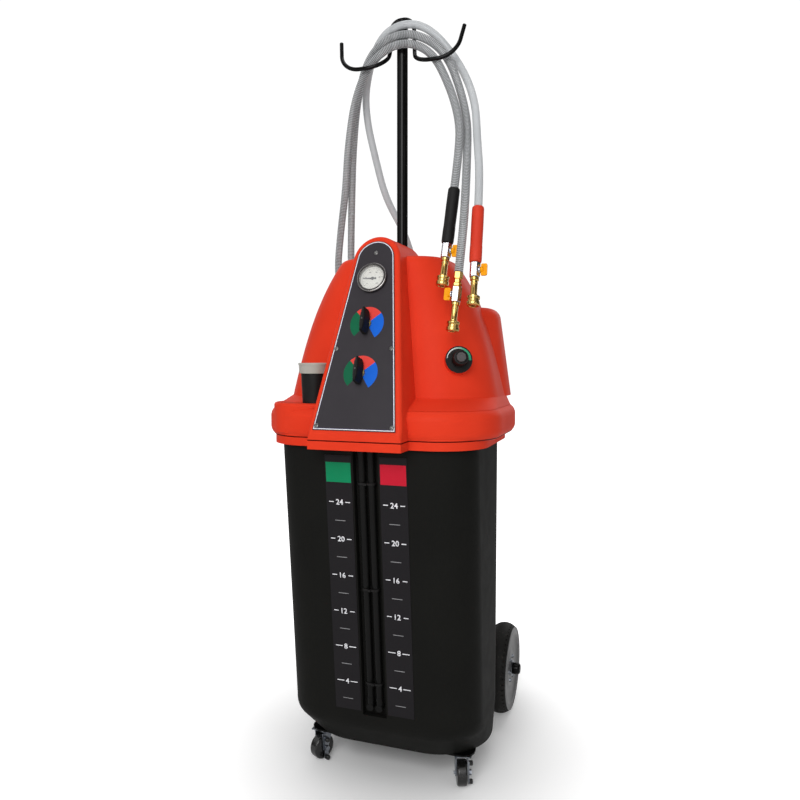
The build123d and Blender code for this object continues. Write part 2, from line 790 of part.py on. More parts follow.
with BuildPart() as mast_socket:
    with Locations((0, mast_y, tank_top_z)):
        Box(socket_plate, socket_plate, socket_plate_thickness, align=standing)
        Cylinder(mast_r + hole_fit + socket_wall, socket_tube_length, align=standing)
    fillet(mast_socket.edges().filter_by(Axis.Z), radius=socket_wall)
    with Locations((0, mast_y, tank_top_z + socket_plate_thickness)):
        Cylinder(mast_r + hole_fit, socket_tube_length, align=standing, mode=Mode.SUBTRACT)
mast_socket.part.label = "mast_socket"
export_step(mast_socket.part, "parts/mast_socket.step")

with BuildPart() as mast:
    with Locations((0, mast_y, tank_top_z + socket_plate_thickness)):
        Cylinder(mast_r, mast_length, align=standing)
        Cylinder(mast_r - mast_wall, mast_length - mast_wall, align=standing, mode=Mode.SUBTRACT)
mast.part.label = "mast"
export_step(mast.part, "parts/mast.step")


half_hook = [
    Vector(hook_tip_x, hook_tip_y, hook_tip_z),
    Vector(hook_valley_x, hook_valley_y, hook_valley_z),
    Vector(hook_foot_x, hook_valley_y, hook_valley_z),
    Vector(hook_knee_x, hook_knee_y, hook_knee_z),
    Vector(hook_arch_half_width, hook_arch_y, hook_arch_z),
]
other_half = [Vector(-point.X, point.Y, point.Z) for point in reversed(half_hook)]
hook_radii = [hook_valley_r, hook_foot_r, hook_knee_r, hook_arch_r]

with BuildPart() as hose_hook:
    with BuildLine() as hook_line:
        FilletPolyline(*half_hook, *other_half, radius=hook_radii + hook_radii[::-1])
    with BuildSketch(Plane(origin=hook_line.line @ 0, z_dir=hook_line.line % 0)):
        Circle(hook_rod_r)
    sweep()
hose_hook.part.label = "hose_hook"
export_step(hose_hook.part, "parts/hose_hook.step")

# Rear axle, its bracket under the tank, and the two wheels
bracket_sheet = 4.0
bracket_half_width = 122.0
bracket_front_y = -20.0
bracket_cheek_round_r = 20.0
bracket_back_height = 150.0
tyre_height = 25.6
rim_outer_r = wheel_r - tyre_height
rim_wall = 3.5
rim_depth = 30.0
web_thickness = 5.0
web_inset = 13.0
hub_r = 17.0
hub_boss_r = 5.5
hub_boss_circle_r = 27.0
hub_boss_count = 6
hub_boss_height = 3.0
web_hole_r = 9.0
tyre_seat_r = rim_outer_r + soft_gap
tread_drop = 8.6
tread_r = wheel_r - tread_drop
tread_notch_count = 48
tread_notch_width = 4.0
hub_washer = 2.0
hub_cap_r = 13.0
hub_cap_length = 19.0
hub_cap_bore = 12.0
web_hole_count = 6
tyre_bead = 4.0
tread_notch_depth = 7.0
wheel_inner_x = wheel_outer_x - wheel_width
axle_half_length = wheel_outer_x + soft_gap + hub_cap_bore
axle_plane = Plane(origin=(wheel_inner_x, axle_y, wheel_r), x_dir=(0, 1, 0), z_dir=(1, 0, 0))

wheel_profile_plane = Plane(axle_plane.origin, x_dir=(0, 1, 0), z_dir=(0, 0, -1))
wheel_axis = Axis(axle_plane.origin, axle_plane.z_dir)
web_outer = wheel_width - web_inset
web_hub = wheel_width - web_inset / 2

with BuildPart() as right_rim:
    with BuildSketch(wheel_profile_plane):
        with Locations(((axle_r + shaft_fit + hub_r) / 2, wheel_width / 2)):
            Rectangle(hub_r - axle_r - shaft_fit, wheel_width)
        with Locations((rim_outer_r - rim_wall / 2, wheel_width / 2)):
            Rectangle(rim_wall, rim_depth)
        Polygon(
            (hub_r - overrun, web_hub), (hub_r - overrun, web_hub - web_thickness),
            (rim_outer_r - rim_wall / 2, web_outer - web_thickness),
            (rim_outer_r - rim_wall / 2, web_outer), align=None,
        )
    revolve(axis=wheel_axis)
    with Locations(axle_plane.offset(web_hub - web_thickness)):
        with PolarLocations(hub_boss_circle_r, hub_boss_count):
            Cylinder(hub_boss_r, web_thickness + hub_boss_height, align=standing)
        with PolarLocations((rim_outer_r + hub_boss_circle_r) / 2, web_hole_count):
            Cylinder(web_hole_r, wheel_width, mode=Mode.SUBTRACT)
right_rim.part.label = "right_wheel_rim"
export_step(right_rim.part, "parts/right_wheel_rim.step")

with BuildPart() as right_tyre:
    with BuildSketch(wheel_profile_plane):
        with BuildLine():
            Polyline(
                (tyre_seat_r, wheel_width / 2 - rim_depth / 2),
                (tyre_seat_r, wheel_width / 2 + rim_depth / 2),
                (tyre_seat_r, wheel_width - tyre_bead), (tyre_seat_r + tyre_bead, wheel_width),
                (tread_r, wheel_width),
            )
            ThreePointArc(
                (tread_r, wheel_width), (wheel_r, wheel_width / 2), (tread_r, 0),
            )
            Polyline(
                (tread_r, 0), (tyre_seat_r + tyre_bead, 0), (tyre_seat_r, tyre_bead),
                (tyre_seat_r, wheel_width / 2 - rim_depth / 2),
            )
        make_face()
    revolve(axis=wheel_axis)
    for edge_a in (0, wheel_width):
        with BuildSketch(axle_plane.offset(edge_a)):
            with PolarLocations(tread_r + 3 * tread_notch_width / 2, tread_notch_count):
                Rectangle(2 * tread_notch_width, tread_notch_width)
        extrude(amount=tread_notch_depth, both=True, mode=Mode.SUBTRACT)
right_tyre.part.label = "right_tyre"
export_step(right_tyre.part, "parts/right_tyre.step")

with BuildPart() as left_rim:
    mirror(right_rim.part, about=Plane.YZ)
left_rim.part.label = "left_wheel_rim"
export_step(left_rim.part, "parts/left_wheel_rim.step")

with BuildPart() as left_tyre:
    mirror(right_tyre.part, about=Plane.YZ)
left_tyre.part.label = "left_tyre"
export_step(left_tyre.part, "parts/left_tyre.step")

with BuildPart() as rear_axle:
    with Locations(Plane(origin=(0, axle_y, wheel_r), z_dir=(1, 0, 0))):
        Cylinder(axle_r, 2 * axle_half_length)
rear_axle.part.label = "rear_axle"
export_step(rear_axle.part, "parts/rear_axle.step")

with BuildPart() as hub_caps:
    with Locations(axle_plane.offset(wheel_width + soft_gap)):
        Cylinder(hub_cap_r, hub_cap_length, align=standing)
        Cylinder(axle_r, hub_cap_bore, align=standing, mode=Mode.SUBTRACT)
    fillet(hub_caps.edges().group_by(Axis.X)[-1], radius=hub_washer)
    mirror(about=Plane.YZ)
hub_caps.part.label = "hub_caps"
export_step(hub_caps.part, "parts/hub_caps.step")

# The bracket is one bent sheet: a foot under the tank and two cheeks that hold the axle
foot_z = tank_bottom_z - bracket_sheet
with BuildPart() as axle_bracket:
    with Locations((0, (bracket_front_y + tank_back_y) / 2, foot_z)):
        Box(2 * bracket_half_width, tank_back_y - bracket_front_y, bracket_sheet, align=standing)
    for side in (-1, 1):
        cheek_plane = Plane(origin=(side * bracket_half_width, 0, 0), x_dir=(0, 1, 0), z_dir=(1, 0, 0))
        with BuildSketch(cheek_plane.offset(-side * bracket_sheet / 2)):
            with BuildLine():
                Polyline(
                    (bracket_front_y, foot_z), (tank_back_y, foot_z - bracket_sheet),
                    (axle_y, wheel_r - bracket_cheek_round_r), (axle_y, wheel_r + bracket_cheek_round_r),
                    (tank_back_y + bracket_sheet, bracket_back_height),
                    (tank_back_y + bracket_sheet, foot_z), close=False,
                )
                Line((tank_back_y + bracket_sheet, foot_z), (bracket_front_y, foot_z))
            make_face()
            with Locations((axle_y, wheel_r)):
                Circle(bracket_cheek_round_r)
                Circle(axle_r + shaft_fit, mode=Mode.SUBTRACT)
        extrude(amount=bracket_sheet / 2, both=True)
axle_bracket.part.label = "axle_bracket"
export_step(axle_bracket.part, "parts/axle_bracket.step")

# Front crossbar under the tank, with a braked swivel caster at each end
crossbar_sheet = 3.0
crossbar_half_length = 172.0
crossbar_width = 54.0
caster_x = 143.0
caster_y = -108.0
caster_trail = 16.0
caster_turns = {"right": -70.0, "left": -115.0}
caster_wheel_r = 24.5
caster_wheel_width = 20.0
caster_plate_length = 52.0
caster_plate_width = 46.0
caster_plate_sheet = 2.0
race_r = 17.0
race_height = 3.5
fork_sheet = 2.0
fork_side_gap = 0.6
kingpin_r = 3.0
kingpin_head_r = 5.5
kingpin_head_height = 2.0
caster_axle_r = 3.0
caster_nut_r = 5.5
caster_nut_height = 4.0
fork_eye_r = 7.0
brake_sheet = 2.0
brake_half_width = 6.0
brake_reach = 20.0
brake_pad_r = 5.0
brake_pad_length = 9.0
brake_rest = 90.0
caster_wheel_round_r = 4.0
hexagon_sides = 6
crossbar_z = tank_bottom_z - crossbar_sheet
plate_z = crossbar_z - caster_plate_sheet
race_z = plate_z - race_height
crown_top_z = race_z - soft_gap
crown_z = crown_top_z - fork_sheet
leg_inner = caster_wheel_width / 2 + fork_side_gap
leg_outer = leg_inner + fork_sheet
caster_side_plane = Plane(origin=(caster_trail, 0, caster_wheel_r), x_dir=(1, 0, 0), z_dir=(0, -1, 0))

with BuildPart() as front_crossbar:
    with BuildSketch(Plane.XY.offset(crossbar_z)):
        with Locations((0, caster_y)):
            RectangleRounded(2 * crossbar_half_length, crossbar_width, crossbar_width / 2 - overrun)
    extrude(amount=crossbar_sheet)
front_crossbar.part.label = "front_crossbar"
export_step(front_crossbar.part, "parts/front_crossbar.step")

with BuildPart() as caster_plate:
    with Locations((0, 0, plate_z)):
        Box(caster_plate_length, caster_plate_width, caster_plate_sheet, align=standing)
    with Locations((0, 0, plate_z)):
        Cylinder(race_r, race_height, align=hanging)
        Cylinder(kingpin_r, plate_z - crown_z + soft_gap, align=hanging)
    with Locations((0, 0, crown_z - soft_gap)):
        Cylinder(kingpin_head_r, kingpin_head_height, align=hanging)

with BuildPart() as caster_fork:
    with BuildSketch(Plane.XY.offset(crown_z)):
        Circle(race_r)
        with Locations((caster_trail / 2, 0)):
            Rectangle(race_r, 2 * leg_outer)
        Circle(kingpin_r + shaft_fit, mode=Mode.SUBTRACT)
    extrude(amount=fork_sheet)
    for side in (-1, 1):
        with BuildSketch(caster_side_plane.offset(side * (leg_inner + fork_sheet / 2))):
            Circle(fork_eye_r)
            Polygon(
                (-fork_eye_r, 0), (fork_eye_r, 0), (race_r / 2, crown_top_z - caster_wheel_r),
                (-race_r, crown_top_z - caster_wheel_r), align=None,
            )
        extrude(amount=fork_sheet / 2, both=True)
    with BuildSketch(caster_side_plane):
        Circle(caster_axle_r)
    extrude(amount=leg_outer + brake_sheet + soft_gap * 2, both=True)
    with BuildSketch(caster_side_plane.offset(-leg_outer - brake_sheet - 2 * soft_gap)):
        RegularPolygon(caster_nut_r, hexagon_sides)
    extrude(amount=-caster_nut_height)

with BuildPart() as caster_wheel:
    with BuildSketch(caster_side_plane):
        Circle(caster_wheel_r)
    extrude(amount=caster_wheel_width / 2, both=True)
    fillet(caster_wheel.edges(), radius=caster_wheel_round_r)
    with BuildSketch(caster_side_plane):
        Circle(caster_axle_r + shaft_fit)
    extrude(amount=caster_wheel_width, both=True, mode=Mode.SUBTRACT)

with BuildPart() as caster_brake:
    with BuildSketch(caster_side_plane.offset(-leg_outer - soft_gap)):
        SlotOverall(2 * brake_reach + 2 * brake_half_width, 2 * brake_half_width, rotation=brake_rest)
        Circle(caster_axle_r + shaft_fit, mode=Mode.SUBTRACT)
    extrude(amount=-brake_sheet)
    with BuildSketch(caster_side_plane.offset(-leg_outer - soft_gap)):
        with PolarLocations(brake_reach, 2, start_angle=brake_rest):
            Circle(brake_pad_r)
    extrude(amount=-brake_pad_length)


def caster_place(side):
    """Where the caster of one side stands, and which way it is turned at rest."""
    x = caster_x if side == "right" else -caster_x
    return Location((x, caster_y, 0), (0, 0, caster_turns[side]))


with BuildPart() as caster_plates:
    add([caster_plate.part.moved(Location((x, caster_y, 0))) for x in (-caster_x, caster_x)])
caster_plates.part.label = "caster_plates"
export_step(caster_plates.part, "parts/caster_plates.step")

for side in ("left", "right"):
    for kind, piece in (("fork", caster_fork), ("wheel", caster_wheel), ("brake", caster_brake)):
        with BuildPart() as placed:
            add(piece.part.moved(caster_place(side)))
        placed.part.label = f"{side}_caster_{kind}"
        export_step(placed.part, f"parts/{side}_caster_{kind}.step")

# Level tubes in the front channel: one hose per chamber, an elbow at its foot, tied in pairs
level_tube_r = 6.5
level_tube_bore_r = 4.5
level_tube_x = 9.0
elbow_z = 168.0
elbow_r = 7.0
level_top_z = 716.0
tie_heights = (215.0, 400.0, 600.0)
tie_width = 4.0
tie_thickness = 1.5
tie_lock = 5.0
level_tube_gap = tie_thickness + 2 * soft_gap
elbow_rise = 20.0
strip_half_width = 26.0
strip_x = 53.0
strip_thickness = 1.0
strip_foot_z = 158.0
strip_top_z = 652.0
front_lean = (tank_front_top_y - tank_front_knee_y) / (tank_top_z - tank_knee_z)
front_slope_share = sqrt(1 + front_lean**2)
front_face_plane = Plane(origin=(0, tank_front_at(0), 0), x_dir=(1, 0, 0), z_dir=(0, -1, front_lean))
tube_stand_off = channel_depth - level_tube_r - level_tube_gap


def up_front_plane(height):
    """A plane square to the level tubes, where they pass a height."""
    return Plane(
        origin=(0, tank_front_at(height) + tube_stand_off, height),
        x_dir=(1, 0, 0), z_dir=(0, front_lean, 1),
    )


tube_places = ((-level_tube_x, 0), (level_tube_x, 0))
tube_foot_z = elbow_z + elbow_rise

with BuildPart() as level_tubes:
    with BuildSketch(up_front_plane(tube_foot_z)):
        with Locations(*tube_places):
            Circle(level_tube_r)
            Circle(level_tube_bore_r, mode=Mode.SUBTRACT)
    extrude(amount=(level_top_z - tube_foot_z) * front_slope_share)
level_tubes.part.label = "level_tubes"
export_step(level_tubes.part, "parts/level_tubes.step")

with BuildPart() as level_elbows:
    with BuildSketch(up_front_plane(elbow_z)):
        with Locations(*tube_places):
            Circle(elbow_r)
    extrude(amount=elbow_rise * front_slope_share)
    for x, y in tube_places:
        elbow_foot = (x, elbow_z * front_slope_share, -channel_depth)
        floor = Plane(front_face_plane.location * Location(elbow_foot))
        with Locations(floor):
            Cylinder(elbow_r, channel_depth - tube_stand_off + elbow_r, align=standing)
level_elbows.part.label = "level_elbows"
export_step(level_elbows.part, "parts/level_elbows.step")

with BuildPart() as cable_ties:
    for height in tie_heights:
        with BuildSketch(up_front_plane(height)):
            SlotCenterToCenter(2 * level_tube_x, 2 * (level_tube_r + soft_gap + tie_thickness))
            SlotCenterToCenter(2 * level_tube_x, 2 * (level_tube_r + soft_gap), mode=Mode.SUBTRACT)
            with Locations((0, -level_tube_r - tie_thickness - soft_gap)):
                Rectangle(tie_lock, tie_lock)
        extrude(amount=tie_width)
cable_ties.part.label = "cable_ties"
export_step(cable_ties.part, "parts/cable_ties.step")

with BuildPart() as scale_strips:
    with BuildSketch(front_face_plane):
        with Locations(
            (-strip_x, (strip_foot_z + strip_top_z) / 2 * front_slope_share),
            (strip_x, (strip_foot_z + strip_top_z) / 2 * front_slope_share),
        ):
            Rectangle(2 * strip_half_width, (strip_top_z - strip_foot_z) * front_slope_share)
    extrude(amount=strip_thickness)
scale_strips.part.label = "scale_strips"
export_step(scale_strips.part, "parts/scale_strips.step")

# Pump and manifold inside the cover, on the tank's deck
pump_x = 75.0
pump_y = 20.0
pump_r = 48.0
pump_body_length = 70.0
pump_flange_r = 56.0
pump_flange_thickness = 8.0
pump_foot = 80.0
pump_foot_height = 18.0
dip_tube_wall = 1.5
dip_tube_foot_z = 90.0
pump_axis_z = tank_top_z + pump_foot_height + pump_flange_r

with BuildPart() as air_pump:
    with Locations((pump_x, pump_y, tank_top_z)):
        Box(pump_foot, pump_foot / 2, pump_axis_z - tank_top_z, align=standing)
    with Locations(Plane(origin=(pump_x, pump_y, pump_axis_z), z_dir=(1, 0, 0))):
        Cylinder(pump_r, pump_body_length)
        for end in (-1, 1):
            with Locations((0, 0, end * pump_body_length / 2)):
                Cylinder(pump_flange_r, pump_flange_thickness)
air_pump.part.label = "air_pump"
export_step(air_pump.part, "parts/air_pump.step")

with BuildPart() as dip_tubes:
    with Locations(*[(x, y, dip_tube_foot_z) for x, y in dip_places]):
        Cylinder(dip_tube_r, tank_top_z - dip_tube_foot_z + pump_foot_height, align=standing)
        Cylinder(dip_tube_r - dip_tube_wall, 2 * tank_top_z, mode=Mode.SUBTRACT)
    with Locations(*[(x, y, tank_top_z) for x, y in dip_places]):
        Cylinder(2 * dip_tube_r, pump_flange_thickness, align=standing)
        Cylinder(dip_tube_r - dip_tube_wall, 2 * tank_top_z, mode=Mode.SUBTRACT)
dip_tubes.part.label = "dip_tubes"
export_step(dip_tubes.part, "parts/dip_tubes.step")

# Fittings on the back wall: three hose elbows and the shop air plug
bulkhead_flange_r = 12.0
bulkhead_flange_height = 5.0
bulkhead_thread_length = 16.0
inlet_plug_r = 4.85
inlet_plug_length = 26.0
inlet_hex_r = 9.0
inlet_hex_height = 10.0
inlet_bore_r = 2.8

with BuildPart() as hose_bulkheads:
    for plane in bulkhead_planes:
        with Locations(plane):
            Cylinder(bulkhead_thread_r, bulkhead_thread_length, align=hanging)
            Cylinder(bulkhead_thread_r, bulkhead_reach + hose_r, align=standing)
        with BuildSketch(plane):
            RegularPolygon(bulkhead_flange_r, hexagon_sides)
        extrude(amount=bulkhead_flange_height)
        with Locations(plane.origin + Vector(0, bulkhead_reach, 0)):
            Cylinder(hose_r, bulkhead_drop, align=hanging)
hose_bulkheads.part.label = "hose_bulkheads"
export_step(hose_bulkheads.part, "parts/hose_bulkheads.step")

with BuildPart() as air_inlet:
    with Locations(air_inlet_plane):
        Cylinder(inlet_thread_r, bulkhead_thread_length, align=hanging)
    with BuildSketch(air_inlet_plane):
        RegularPolygon(inlet_hex_r, hexagon_sides)
    extrude(amount=inlet_hex_height)
    with Locations(air_inlet_plane.offset(inlet_hex_height)):
        Cylinder(inlet_plug_r, inlet_plug_length, align=standing)
    with Locations(air_inlet_plane):
        Cylinder(inlet_bore_r, 2 * opening_depth + 2 * inlet_plug_length, mode=Mode.SUBTRACT)
air_inlet.part.label = "air_inlet"
export_step(air_inlet.part, "parts/air_inlet.step")


# Service hoses
def bend_radii(points):
    """One radius per corner: a share of the shorter run over the tangent of half the turn."""
    radii = []
    for before, corner, after in zip(points, points[1:], points[2:]):
        run_in, run_out = corner - before, after - corner
        half_turn = radians(run_in.get_angle(run_out) / 2)
        radii.append(run_share * min(run_in.length, run_out.length) / tan(half_turn))
    return radii


hose_ends = {}
for name, route in hose_points.items():
    points = [Vector(*point) for point in route]
    outer_r, bore_r = hose_radii[name]
    with BuildPart() as service_hose:
        with BuildLine():
            path = FilletPolyline(*points, radius=bend_radii(points))
        with BuildSketch(Plane(origin=path @ 0, z_dir=path % 0)):
            Circle(outer_r)
            Circle(bore_r, mode=Mode.SUBTRACT)
        sweep()
    hose_ends[name] = (path @ 1, path % 1)
    service_hose.part.label = f"{name}_hose"
    export_step(service_hose.part, f"parts/{name}_hose.step")


def fitting_plane(name, along, side):
    """A plane across a hose's end, its normal running on along the fittings."""
    end, direction = hose_ends[name]
    across = (side, 0, -side * direction.X / direction.Z)
    return Plane(origin=end + direction * along, x_dir=across, z_dir=direction)


# How far down the fittings of each hose its valve starts, and the side its handle is on
fittings = {
    "inner": (grip_length, 1),
    "middle": (nut_length, -1),
    "outer": (grip_length, 1),
}

for name, node in (("inner", "black_grip"), ("outer", "red_grip")):
    with BuildPart() as hand_grip:
        with Locations(fitting_plane(name, 0, 1)):
            Cylinder(grip_r, grip_length, align=standing)
        fillet(hand_grip.edges(), radius=grip_round_r)
    hand_grip.part.label = node
    export_step(hand_grip.part, f"parts/{node}.step")

with BuildPart() as hose_nut:
    with BuildSketch(fitting_plane("middle", 0, 1)):
        RegularPolygon(nut_r, hexagon_sides)
    extrude(amount=nut_length)
    with BuildSketch(fitting_plane("middle", nut_length * nut_waist_share, 1)):
        Circle(2 * nut_r)
        Circle(coupler_r, mode=Mode.SUBTRACT)
    extrude(amount=nut_length * nut_waist_share / 2, mode=Mode.SUBTRACT)
hose_nut.part.label = "hose_nut"
export_step(hose_nut.part, "parts/hose_nut.step")

with BuildPart() as ball_valves:
    for name, (start, side) in fittings.items():
        with BuildSketch(fitting_plane(name, start, side)):
            RegularPolygon(valve_r, hexagon_sides)
        extrude(amount=valve_length)
        middle = fitting_plane(name, start + valve_length / 2, side)
        with Locations(Plane(middle.origin, x_dir=middle.z_dir, z_dir=middle.x_dir)):
            Cylinder(valve_stem_r, valve_stem_length, align=standing)
ball_valves.part.label = "ball_valves"
export_step(ball_valves.part, "parts/ball_valves.step")

with BuildPart() as couplers:
    for name, (start, side) in fittings.items():
        with Locations(fitting_plane(name, start + valve_length, side)):
            Cylinder(coupler_r, coupler_length, align=standing)
        with BuildSketch(fitting_plane(name, start + valve_length, side)):
            RegularPolygon(coupler_nut_r, hexagon_sides)
        extrude(amount=coupler_nut_length)
        with Locations(fitting_plane(name, start + valve_length + coupler_length, side)):
            Cylinder(coupler_bore_r, coupler_length - coupler_nut_length, align=hanging, mode=Mode.SUBTRACT)
couplers.part.label = "couplers"
export_step(couplers.part, "parts/couplers.step")

for name, (start, side) in fittings.items():
    middle = fitting_plane(name, start + valve_length / 2, side)
    stem_plane = Plane(middle.origin, x_dir=middle.z_dir, z_dir=middle.x_dir)
    wing_plane = Plane(middle.origin, x_dir=middle.x_dir, z_dir=middle.y_dir)
    with BuildPart() as valve_handle:
        with Locations(stem_plane.offset(handle_stand_off)):
            Cylinder(handle_hub_r, handle_hub_length, align=standing)
        with BuildSketch(wing_plane):
            with Locations(((handle_stand_off + handle_reach) / 2, 0)):
                RectangleRounded(handle_reach - handle_stand_off, handle_length, handle_corner_r)
        extrude(amount=handle_sheet / 2, both=True)
        with Locations(middle):
            Cylinder(valve_r + handle_sheet / 2, handle_length, mode=Mode.SUBTRACT)
        with Locations(stem_plane):
            Cylinder(
                valve_stem_r + shaft_fit, valve_stem_length + soft_gap, align=standing, mode=Mode.SUBTRACT
            )
    valve_handle.part.label = f"{name}_valve_handle"
    export_step(valve_handle.part, f"parts/{name}_valve_handle.step")

    collar_start = start + valve_length + coupler_length - collar_length
    with BuildPart() as collar:
        with Locations(fitting_plane(name, collar_start, side)):
            Cylinder(collar_r, collar_length, align=standing)
            Cylinder(coupler_r + shaft_fit, collar_length, align=standing, mode=Mode.SUBTRACT)
        with BuildSketch(fitting_plane(name, collar_start + collar_length / 3, side)):
            Circle(2 * collar_r)
            Circle(collar_r - collar_groove, mode=Mode.SUBTRACT)
        extrude(amount=collar_length / 4, mode=Mode.SUBTRACT)
    collar.part.label = f"{name}_coupler_collar"
    export_step(collar.part, f"parts/{name}_coupler_collar.step")
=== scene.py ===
import math

import bpy
from mathutils import Matrix, Vector


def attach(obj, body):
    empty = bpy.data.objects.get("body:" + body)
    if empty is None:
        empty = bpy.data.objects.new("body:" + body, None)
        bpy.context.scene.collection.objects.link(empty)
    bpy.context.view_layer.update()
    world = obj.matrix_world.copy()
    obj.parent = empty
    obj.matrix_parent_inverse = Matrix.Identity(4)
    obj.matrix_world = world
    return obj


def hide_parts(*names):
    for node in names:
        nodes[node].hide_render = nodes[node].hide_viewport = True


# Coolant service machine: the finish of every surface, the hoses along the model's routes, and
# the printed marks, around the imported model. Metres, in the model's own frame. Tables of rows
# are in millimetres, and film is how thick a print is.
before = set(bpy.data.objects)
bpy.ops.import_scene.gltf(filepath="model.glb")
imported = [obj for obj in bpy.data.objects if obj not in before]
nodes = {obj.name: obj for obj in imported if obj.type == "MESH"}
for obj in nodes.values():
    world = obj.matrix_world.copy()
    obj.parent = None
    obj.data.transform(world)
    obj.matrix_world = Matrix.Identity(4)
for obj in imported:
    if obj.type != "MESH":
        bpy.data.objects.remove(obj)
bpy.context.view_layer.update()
mm = 0.001
film = 0.12 * mm
at_origin = Matrix.Identity(4)


# Picking and placing
def deselect():
    bpy.ops.object.select_all(action="DESELECT")


def mode(name):
    """Goes into edit or object mode."""
    bpy.ops.object.mode_set(mode=name)


def only(piece):
    """Selects one object and makes it the active one."""
    deselect()
    piece.select_set(True)
    bpy.context.view_layer.objects.active = piece


def added(name, data):
    """A new object in the scene."""
    piece = bpy.data.objects.new(name, data)
    bpy.context.scene.collection.objects.link(piece)
    return piece


def discard(*pieces):
    """Takes pieces out of the scene."""
    for piece in pieces:
        bpy.data.objects.remove(piece)


def apply_all(piece):
    """Applies every modifier on a piece."""
    only(piece)
    for modifier in list(piece.modifiers):
        bpy.ops.object.modifier_apply(modifier=modifier.name)


def thicken(piece, thickness):
    """Gives a sheet its thickness, outwards."""
    thick = piece.modifiers.new("thick", "SOLIDIFY")
    thick.thickness = thickness
    thick.offset = 1.0
    apply_all(piece)


def settle(piece, name):
    """Names a piece and puts its place into its mesh."""
    only(piece)
    bpy.ops.object.transform_apply(location=True, rotation=True, scale=True)
    piece.name = name
    piece.data.name = name


def joined(pieces, name):
    """Several meshes as one piece."""
    deselect()
    for piece in pieces:
        piece.select_set(True)
    bpy.context.view_layer.objects.active = pieces[0]
    if len(pieces) > 1:
        bpy.ops.object.join()
    pieces[0].name = name
    pieces[0].data.name = name
    return pieces[0]


def plane_matrix(origin, across, normal):
    """Local X across, local Z along the normal."""
    z = Vector(normal).normalized()
    x = (Vector(across) - z * Vector(across).dot(z)).normalized()
    y = z.cross(x)
    turn = Matrix((x, y, z)).transposed().to_4x4()
    return Matrix.Translation(Vector(origin)) @ turn


def smooth(piece, angle=35):
    only(piece)
    bpy.ops.object.shade_smooth_by_angle(angle=math.radians(angle))


def pick_faces(piece, wanted):
    """Selects the faces that a test of middle and normal picks, and stays in edit mode."""
    only(piece)
    mode("EDIT")
    bpy.ops.mesh.select_mode(type="FACE")
    bpy.ops.mesh.select_all(action="DESELECT")
    mode("OBJECT")
    for face in piece.data.polygons:
        face.select = wanted(face.center, face.normal)
    mode("EDIT")


# Turned pieces: where a section's first corner stands, what counts as on the axis and as a
# side, and the groove between the raised faces of a knurl
first_corner = math.radians(30)
near_axis = 0.1 * mm
steep = 0.3
knurl_gap = 0.18 * mm


def turned(name, rows, place, sides=48, bored=False, knurl=None):
    """A bar drawn up row by row, each row a height and a radius in millimetres.

    A bored bar is open along its axis. A knurl is its low end, its high end and its depth.
    """
    deselect()
    bpy.ops.mesh.primitive_circle_add(
        vertices=sides, radius=rows[0][1] * mm, fill_type="NGON", location=(0, 0, rows[0][0] * mm),
        rotation=(0, 0, first_corner),
    )
    piece = bpy.context.object
    mode("EDIT")
    bpy.ops.mesh.select_all(action="SELECT")
    for (low, before), (high, after) in zip(rows, rows[1:]):
        rise = (0, 0, (high - low) * mm)
        spread = after / before
        bpy.ops.mesh.extrude_region_move(TRANSFORM_OT_translate={"value": rise})
        bpy.ops.transform.resize(value=(spread, spread, 1), center_override=(0, 0, 0))
    if bored:
        mode("OBJECT")
        pick_faces(piece, lambda middle, normal: math.hypot(middle.x, middle.y) < near_axis)
        bpy.ops.mesh.delete(type="FACE")
        bpy.ops.mesh.select_mode(type="EDGE")
        bpy.ops.mesh.select_all(action="DESELECT")
        bpy.ops.mesh.select_non_manifold()
        bpy.ops.mesh.bridge_edge_loops()
    bpy.ops.mesh.select_all(action="SELECT")
    bpy.ops.mesh.normals_make_consistent(inside=False)
    mode("OBJECT")
    settle(piece, name)
    if knurl is not None:
        low, high, depth = (size * mm for size in knurl)
        pick_faces(piece, lambda middle, normal: low < middle.z < high and abs(normal.z) < steep)
        bpy.ops.mesh.inset(thickness=knurl_gap, depth=depth, use_individual=True)
        mode("OBJECT")
    smooth(piece)
    piece.data.transform(place)
    return piece


def copies(piece, name, places):
    """The same piece at each place, every copy with its own mesh, joined as one."""
    made = []
    for place in places:
        mesh = piece.data.copy()
        mesh.transform(place)
        made.append(added(name, mesh))
    return joined(made, name)


def meshed(curve, name, place):
    """A curve or text turned into a mesh piece at a place."""
    holder = added(f"{name}_line", curve)
    mesh = bpy.data.meshes.new_from_object(holder)
    discard(holder)
    mesh.name = name
    mesh.transform(place)
    return added(name, mesh)


def flat_shape(name, loops, place, lift=0.0, thickness=film):
    """A thin plate cut to one or more outlines, holes among them, lying on a place."""
    curve = bpy.data.curves.new(name, "CURVE")
    curve.dimensions = "2D"
    curve.fill_mode = "BOTH"
    curve.extrude = thickness / 2
    for loop in loops:
        spline = curve.splines.new("POLY")
        spline.points.add(len(loop) - 1)
        for point, (x, y) in zip(spline.points, loop):
            point.co = (x, y, 0, 1)
        spline.use_cyclic_u = True
    return meshed(curve, name, place @ Matrix.Translation((0, 0, lift + thickness / 2)))


